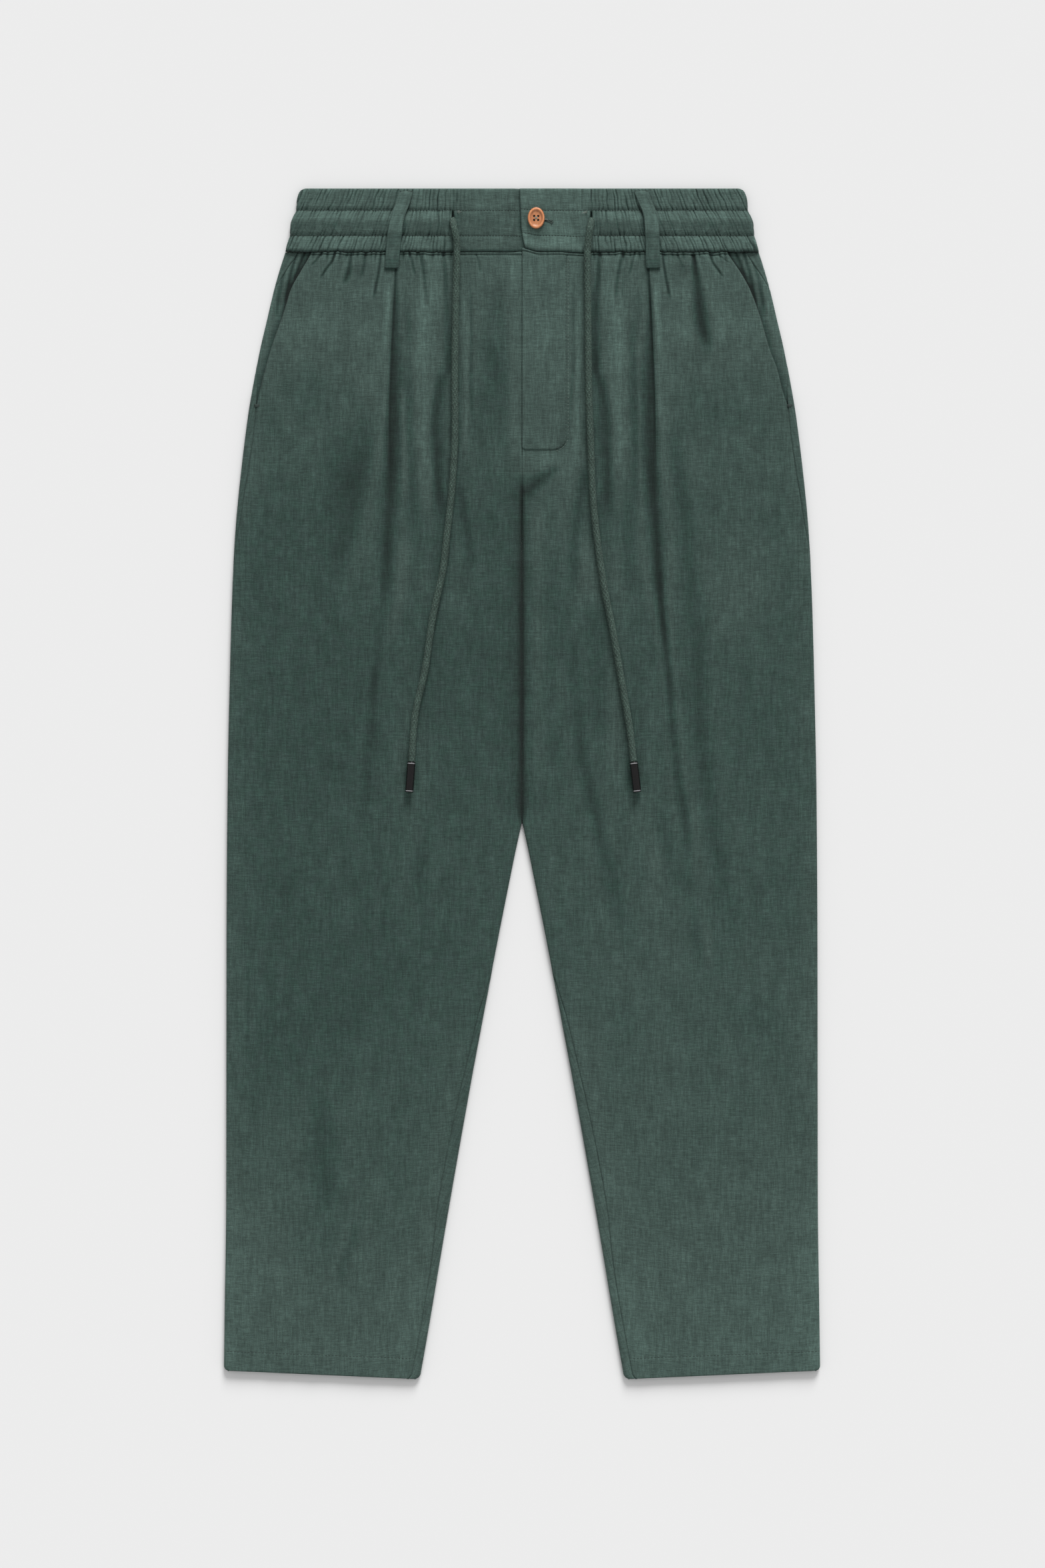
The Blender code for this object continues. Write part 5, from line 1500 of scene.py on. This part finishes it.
def make_placket():
    turn = np.radians(np.linspace(0, 90, 14))
    drops = [*np.arange(50.5, 60.0, 0.5), *np.arange(60.0, 211.0, 3.0)]
    drops += [*(FLY_FOOT - FLY_CORNER * (1 - np.sin(turn)))]
    share = np.concatenate((NEAR_STEPS[:5] / 30, np.linspace(0.08, 1.0, 30)))
    points, shades = [], []
    for drop in drops:
        over = max(drop - (FLY_FOOT - FLY_INNER_CORNER), 0)
        start = FLY_EDGE + FLY_INNER_CORNER - math.sqrt(FLY_INNER_CORNER**2 - over**2)
        out = start + (fly_width(drop) - start) * share
        z = fly_height(out, drop) - roll(out - start, 0.8, 0.45) - roll(FLY_FOOT - drop, 0.5, 0.6)
        points.append(placed(LEFT, out, drop, z + along(PIPING, drop - foot_shift(LEFT, out))))
        # Painted shade at the placket's foot and along its sewn edge
        light = front_shade(LEFT, out, drop) + 0.03 - 0.22 * bell(FLY_FOOT - drop, 0.9)
        shades.append(light - 0.1 * bell(out - FLY_WIDTH, 0.8))
    item = cloth("linen_fly_placket", points, shades, False, (10, 0))
    sheet_of(item, "fly_placket", "fly_placket", "front_left")


def make_loop(side):
    """A belt loop: a strip folded to four layers, slack in the middle and turned under at its end."""
    above, below = np.linspace(LOOP_START, LOOP_TURN - 1.0, 44), np.linspace(62.2, LOOP_END - 0.8, 9)
    drops = np.concatenate((above, below, (LOOP_END - 0.3, LOOP_END)))
    turn = np.linspace(0, math.tau, 28, endpoint=False)
    wide = np.sign(np.cos(turn)) * np.abs(np.cos(turn)) ** 0.45
    tall = np.sign(np.sin(turn)) * np.abs(np.sin(turn)) ** 0.7
    rings, shades = [], []
    for drop in drops:
        middle, under = along(LOOP_LINE, drop, SIDE_COLUMN[side]), along(LOOP_LINE, drop, 3)
        turned = eased(LOOP_TURN - 0.6, LOOP_TURN + 0.8, drop)
        crease = bell(drop - LOOP_TURN, 0.6)
        close = math.sqrt(max(1 - (max(drop - (LOOP_END - 0.9), 0) / 0.95) ** 2, 0.02))
        wall = LOOP_WALL * (1 + 0.45 * turned)
        width = LOOP_WIDTH * (1 - 0.01 * crease) * (1 + 0.02 * math.sin(drop * 0.21 + side))
        dip = 0.14 * np.cos(wide * math.pi) * (tall > 0)
        z = under + wall / 2 + wall * close / 2 * tall + dip * close - 0.35 * crease * (tall > 0.1)
        z = z + 0.08 * ripple(wide * 6, drop, 9, 16, seed=95 + side) * (tall > 0.1)
        rings.append(placed(1, middle + width / 2 * wide, drop, z))
        # Painted light along the loop, with painted shade in its turn and along its side edges
        light = along(LOOP_LIGHT, drop) + 0.06 * ripple(wide * 6, drop, 12, 14, seed=98 + side)
        shades.append(light - 0.3 * crease - 0.24 * (np.abs(wide) > 0.93))
    item = tube(named("linen_belt_loop", side), np.array(rings), ["woven linen"], shades)
    rests = named("waistband_elastic", side), named("front", side)
    sheet_of(item, "belt_loop", named("belt_loop", side), *rests)


def smooth_route(points, spacing):
    """Points this far apart on a Catmull-Rom curve through the given ones."""
    ends = [2 * points[0] - points[1], *points, 2 * points[-1] - points[-2]]
    fine = []
    for a, b, c, d in zip(ends, ends[1:], ends[2:], ends[3:]):
        for t in np.linspace(0, 1, 24, endpoint=False):
            bend = (2 * a - 5 * b + 4 * c - d) * t**2 + (3 * b - a - 3 * c + d) * t**3
            fine.append(0.5 * (2 * b + (c - a) * t + bend))
    fine = np.array([*fine, points[-1]])
    travelled = travel_of(fine)
    stops = np.linspace(0, travelled[-1], round(travelled[-1] / spacing) + 1)
    return np.stack([np.interp(stops, travelled, fine[:, k]) for k in range(3)], axis=1)


def make_aglet(name, tip, way):
    """A cast metal end that is crimped over the cord's tip, with two bright raised rims."""
    profile = np.array(AGLET_PROFILE)
    turn = np.linspace(0, math.tau, 36, endpoint=False)
    spokes = np.outer(np.cos(turn), np.cross(way, (0, 0, 1))) + np.outer(np.sin(turn), (0, 0, 1))
    middles = tip + way * AGLET_OVERLAP + profile[:, :1] * AGLET_LENGTH * way
    rings = middles[:, None, :] + profile[:, 1, None, None] * AGLET_RADIUS * spokes
    aglet = tube(name, rings, ["black lacquered zinc", "polished zinc"])
    rims = {k for k, (_, wide) in enumerate(AGLET_PROFILE) if wide == AGLET_RIM}
    for polygon in aglet.data.polygons:
        ring = polygon.index // len(turn)
        if ring in rims and ring + 1 in rims:
            polygon.material_index = 1
    aglet.data.set_sharp_from_angle(angle=math.radians(40))
    return aglet


def make_drawstring(side):
    """A drawstring that comes out of its slot and lies down the front, and its metal aglet."""
    path = smooth_route([np.array((x, y_at(drop), z)) for drop, x, z in CORD_ROUTES[side]], CORD_SPACING)
    heading = np.gradient(path, axis=0)
    heading = heading / np.linalg.norm(heading, axis=1)[:, None]
    sideways = np.cross(heading, (0, 0, 1))
    sideways = sideways / np.linalg.norm(sideways, axis=1)[:, None]
    upwards = np.cross(sideways, heading)
    turn = np.linspace(0, math.tau, 24, endpoint=False)
    distance = np.arange(len(path)) * CORD_SPACING
    lay = math.tau * distance[:, None] / BRAID_REPEAT
    braid = np.maximum(np.cos(BRAID_STRANDS * turn + lay), np.cos(BRAID_STRANDS * turn - lay))
    radius = CORD_DIAMETER / 2 * (1.02 + 0.06 * braid)
    radius = radius * (1 + 0.03 * ripple(distance, 0.0, 14.0, 1.0, seed=3 + side))[:, None]
    across = np.cos(turn)[None, :, None] * sideways[:, None, :]
    spokes = across + np.sin(turn)[None, :, None] * upwards[:, None, :]
    # Painted shade between the braid's strands, darker where they dip
    shade = 0.8 + 0.32 * braid + 0.05 * ripple(distance, 0.0, 9.0, 1.0, seed=6 + side)[:, None]
    rings = path[:, None, :] + radius[:, :, None] * spokes
    cord = tube(named("cotton_drawstring", side), rings, ["cotton braid"], shade)
    way = heading[-1] * (1, 1, 0)
    aglet = make_aglet(named("metal_aglet", side), path[-1], way / np.linalg.norm(way))
    dress(cord, "cord", named("drawstring", side))
    dress(aglet, "aglet", named("aglet", side))


def drilled(disc, places):
    """The mesh of a button with a hole at each place."""
    drills = []
    for index, place in enumerate(places):
        bpy.ops.mesh.primitive_cylinder_add(
            vertices=20, radius=BUTTON_HOLE_RADIUS * MM, depth=20 * MM, location=Vector(place) * MM
        )
        drills.append(bpy.context.object)
        cut = disc.modifiers.new(f"hole {index}", "BOOLEAN")
        cut.operation = "DIFFERENCE"
        cut.object = drills[-1]
    bpy.context.view_layer.update()
    mesh = bpy.data.meshes.new_from_object(disc.evaluated_get(bpy.context.evaluated_depsgraph_get()))
    disc.modifiers.clear()
    for drill in drills:
        bpy.data.objects.remove(drill, do_unlink=True)
    return mesh


def make_button():
    """An oval four-hole button with a raised rim, and the crossed thread that holds it."""
    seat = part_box("button")[0][2] / MM
    turn = np.linspace(0, math.tau, 72, endpoint=False)
    shares, heights = np.array(BUTTON_PROFILE).T
    half_wide, half_tall = np.array(BUTTON_SIZE) / 2
    x, y = BUTTON_PLACE[0], y_at(BUTTON_PLACE[1])
    across = x + shares[:, None] * half_wide * np.cos(turn)
    up_down = y + shares[:, None] * half_tall * np.sin(turn)
    rings = np.stack(np.broadcast_arrays(across, up_down, seat + heights[:, None]), axis=-1)
    # Painted highlight on the rim, painted shade in the recess and on the side walls
    light = 0.9 + 0.3 * bell(shares - 0.88, 0.1) - 0.22 * bell(shares - 0.67, 0.07)
    light = np.where((shares > 0.945) | (heights < 1.3), BUTTON_EDGE_LIGHT, light)
    disc = tube("corozo_button", rings, ["corozo nut"], np.repeat(light, len(turn)))

    right, up = BUTTON_HOLES
    disc.data = drilled(disc, [(x + i * right, y + j * up, seat) for i in (-1, 1) for j in (-1, 1)])
    disc.data.set_sharp_from_angle(angle=math.radians(50))
    # The holes' walls are painted darker, as painted shade
    lights = np.empty(len(disc.data.vertices), dtype=np.float32)
    disc.data.attributes["shade"].data.foreach_get("value", lights)
    disc.data.attributes["shade"].data.foreach_set("value", np.where(lights == 0, HOLE_LIGHT, lights))
    dress(disc, "button", "button")

    strands = []
    centre = np.array((x, y, seat + 2.0))
    for way in (1, -1):
        for shift in (-0.2, 0.2):
            offset = np.array((right, way * up, 0.0)) * 0.85
            middle = centre + np.array((-way, 1, 0.0)) * shift - (0, 0, 0.8)
            strands.append(thread(middle - offset, middle + offset, 0.2, arch=1.0, rings=8, sides=8))
    joined("button_thread", strands, "pale thread")


def make_buttonhole():
    """The end of the buttonhole that shows beside the button, with its worked edge and a bar."""
    drop = BUTTON_PLACE[1] + 1.0
    middle_y = y_at(drop)
    z = float(centre_level(LEFT, 22.0, drop)) + 0.25
    dark = []
    for k, x in enumerate(np.arange(BUTTONHOLE_START, BUTTONHOLE_END, 0.55)):
        for way in (-1, 1):
            y = middle_y - 0.35 * (x - BUTTONHOLE_START) + way * 0.75
            wobble = 0.12 * math.sin(3.1 * k + way)
            dark.append(thread((x, y - 0.62 + wobble, z), (x + 0.1, y + 0.62 + wobble, z), 0.27, arch=0.12))
    for k in range(5):
        x = BUTTONHOLE_END + 0.5 * (k % 3)
        y = middle_y - 2.2 + 0.8 * (k - 2)
        dark.append(thread((x, y - 0.7, z), (x + 0.2, y + 0.7, z), 0.3, arch=0.15))
    joined("buttonhole_stitches", dark, "sewing thread")

    pale = [
        thread((18.6, middle_y - 0.4, z + 0.4), (21.8, middle_y + 0.3, z + 0.3), 0.24, arch=0.3, rings=6),
        thread((19.6, middle_y + 0.5, z + 0.3), (22.8, middle_y - 0.9, z + 0.1), 0.2, arch=0.2, rings=6),
    ]
    for side, x, slot_drop in ((RIGHT, -53.2, 19.3), (LEFT, 53.6, 19.6)):
        z = float(centre_level(side, x, slot_drop)) + 0.1
        for k in range(3):
            y = y_at(slot_drop) - 0.5 * k
            start, end = (x - side * 1.5 - k, y - 0.9, z), (x + side * 2.4, y + 0.3 - k * 0.4, z)
            pale.append(thread(start, end, 0.2, arch=0.2, rings=5))
    joined("pale_thread_ends", pale, "pale thread")


class BuildStage(bpy.types.Operator):
    """Sets the paper floor, the soft lights and the camera that looks straight down"""

    bl_idname = "trousers.stage"
    bl_label = "Stage"

    def execute(self, context):
        scene = context.scene
        bpy.ops.mesh.primitive_plane_add(size=FLOOR_SIZE, location=(0, 0, FLOOR_LEVEL))
        floor = context.object
        floor.name = "paper_floor"
        floor.data.materials.append(finish("background paper"))

        world = bpy.data.worlds.new("soft studio")
        world.use_nodes = True
        scene.world = world
        sky = world.node_tree.nodes["Background"]
        sky.inputs["Color"].default_value = (1, 1, 1, 1)
        sky.inputs["Strength"].default_value = SKY_STRENGTH

        lamp = bpy.data.lights.new("window", "SUN")
        lamp.energy = WINDOW_ENERGY
        lamp.angle = math.radians(WINDOW_WIDTH)
        window = bpy.data.objects.new("window", lamp)
        window.rotation_euler = Vector(WINDOW_DIRECTION).to_track_quat("Z", "Y").to_euler()
        scene.collection.objects.link(window)

        lens = bpy.data.cameras.new("overhead camera")
        lens.lens = scene.trousers_sizes.lens
        lens.sensor_width = 36.0
        lens.clip_end = 50.0
        camera = bpy.data.objects.new("overhead camera", lens)
        camera.location = CAMERA_PLACE
        scene.collection.objects.link(camera)
        scene.camera = camera
        scene.view_settings.view_transform = "Standard"
        return {"FINISHED"}


class BuildDrawstrings(bpy.types.Operator):
    """Lays the two braided drawstrings from their slots down the front, with their metal aglets"""

    bl_idname = "trousers.drawstrings"
    bl_label = "Drawstrings"

    def execute(self, context):
        for side in (RIGHT, LEFT):
            make_drawstring(side)
        return {"FINISHED"}


class BuildPanels(bpy.types.Operator):
    """Makes the front and back panels of both legs, with their hems and hem stitches"""

    bl_idname = "trousers.panels"
    bl_label = "Panels"

    def execute(self, context):
        length = chosen_length("stitch_length")
        stitches = []
        for side in (RIGHT, LEFT):
            front, back = make_front(side), make_back(side)
            stitches += stitch_run(front - (0, 0, 0.02), HEM_PITCH, length, radius=0.2, seed=30 + side)
            stitches += stitch_run(back[12:-14], HEM_PITCH, length, radius=0.24, seed=33, arch=-0.1)
        joined("hem_stitches", stitches, "sewing thread")
        make_centre_seam()
        return {"FINISHED"}


class BuildPockets(bpy.types.Operator):
    """Makes the slant pockets' facings and the bar tacks at their lower ends"""

    bl_idname = "trousers.pockets"
    bl_label = "Pockets"

    def execute(self, context):
        tacks = []
        for side, x, drop in ((RIGHT, -227.4, 186.0), (LEFT, 229.4, 185.9)):
            make_facing(side)
            tacks += bar_tack(x, drop, FRONT_LEVEL + 0.05, wide=4.6, tall=1.7)
        joined("pocket_bar_tacks", tacks, "sewing thread")
        return {"FINISHED"}


class BuildWaistband(bpy.types.Operator):
    """Makes the gathered waistband, its plain centre pieces and its two rows of stitches"""

    bl_idname = "trousers.waistband"
    bl_label = "Waistband"

    def execute(self, context):
        stitches = []
        for side in (RIGHT, LEFT):
            for index, line in enumerate(make_elastic(side) + make_plain(side)):
                seed = 50 + 5 * index + side
                stitches += stitch_run(line, pitch=2.6, length=1.9, radius=0.23, seed=seed, lift=0.16)
        joined("waistband_stitches", stitches, "sewing thread")
        return {"FINISHED"}


class BuildFly(bpy.types.Operator):
    """Makes the fly placket and the J-shaped lines of stitches that hold it"""

    bl_idname = "trousers.fly"
    bl_label = "Fly"

    def execute(self, context):
        make_placket()
        top = front_top(LEFT, 38.0, 214.0)[0]
        tack = bar_tack(30.0, 221.6, top + 0.5, wide=3.4, tall=1.3)
        for name, thread_name, inside, radius, extra in (
            ("fly_stitches", "sewing thread", 1.0, 0.2, tack),
            ("fly_edge_stitches", "pale thread", -0.9, 0.12, []),
        ):
            turns = np.radians(np.linspace(0, 88, 14))
            middle, foot, bend = FLY_WIDTH - FLY_CORNER, FLY_FOOT - FLY_CORNER, FLY_CORNER - inside
            places = [(FLY_WIDTH - inside, drop) for drop in np.arange(60.0, 212.0, 3.0)]
            places += [(middle + bend * math.cos(turn), foot + bend * math.sin(turn)) for turn in turns]
            line = [(out, y_at(drop), fly_height(np.array([out]), drop)[0]) for out, drop in places]
            stitches = stitch_run(line, pitch=3.1, length=1.7, radius=radius, seed=71, lift=0.05)
            joined(name, stitches + extra, thread_name)
        return {"FINISHED"}


class BuildBeltLoops(bpy.types.Operator):
    """Makes the two belt loops and the stitches that close their upper ends"""

    bl_idname = "trousers.belt_loops"
    bl_label = "Belt loops"

    def execute(self, context):
        tacks = []
        for side in (RIGHT, LEFT):
            make_loop(side)
            x = along(LOOP_LINE, LOOP_START, SIDE_COLUMN[side])
            tacks += bar_tack(x, 3.0, BAND_LEVEL + 0.95, wide=LOOP_WIDTH - 1.0, tall=1.1)
        joined("belt_loop_tacks", tacks, "sewing thread")
        return {"FINISHED"}


class BuildButton(bpy.types.Operator):
    """Makes the button with its thread, the buttonhole and the loose thread ends"""

    bl_idname = "trousers.button"
    bl_label = "Button"

    def execute(self, context):
        make_button()
        make_buttonhole()
        return {"FINISHED"}


BUILD_ORDER = (
    BuildStage,
    BuildDrawstrings,
    BuildPanels,
    BuildPockets,
    BuildWaistband,
    BuildFly,
    BuildBeltLoops,
    BuildButton,
)


class TrousersPanel(bpy.types.Panel):
    """Lists what the trousers are made of"""

    bl_idname = "VIEW3D_PT_trousers"
    bl_label = "Linen trousers"
    bl_space_type = "VIEW_3D"
    bl_region_type = "UI"
    bl_category = "Trousers"

    def draw(self, context):
        for group in (context.scene.trousers_sizes, context.scene.trousers_colours):
            for name in group.__annotations__:
                self.layout.prop(group, name)
        for operator in BUILD_ORDER:
            self.layout.operator(operator.bl_idname)


CLASSES = (TrousersColours, TrousersSizes, *BUILD_ORDER, TrousersPanel)


def register():
    for item in CLASSES:
        bpy.utils.register_class(item)
    bpy.types.Scene.trousers_colours = PointerProperty(type=TrousersColours)
    bpy.types.Scene.trousers_sizes = PointerProperty(type=TrousersSizes)


def unregister():
    del bpy.types.Scene.trousers_sizes
    del bpy.types.Scene.trousers_colours
    for item in reversed(CLASSES):
        bpy.utils.unregister_class(item)


def main():
    register()
    for operator in BUILD_ORDER:
        group, name = operator.bl_idname.split(".")
        getattr(getattr(bpy.ops, group), name)()


if __name__ == "__main__":
    main()
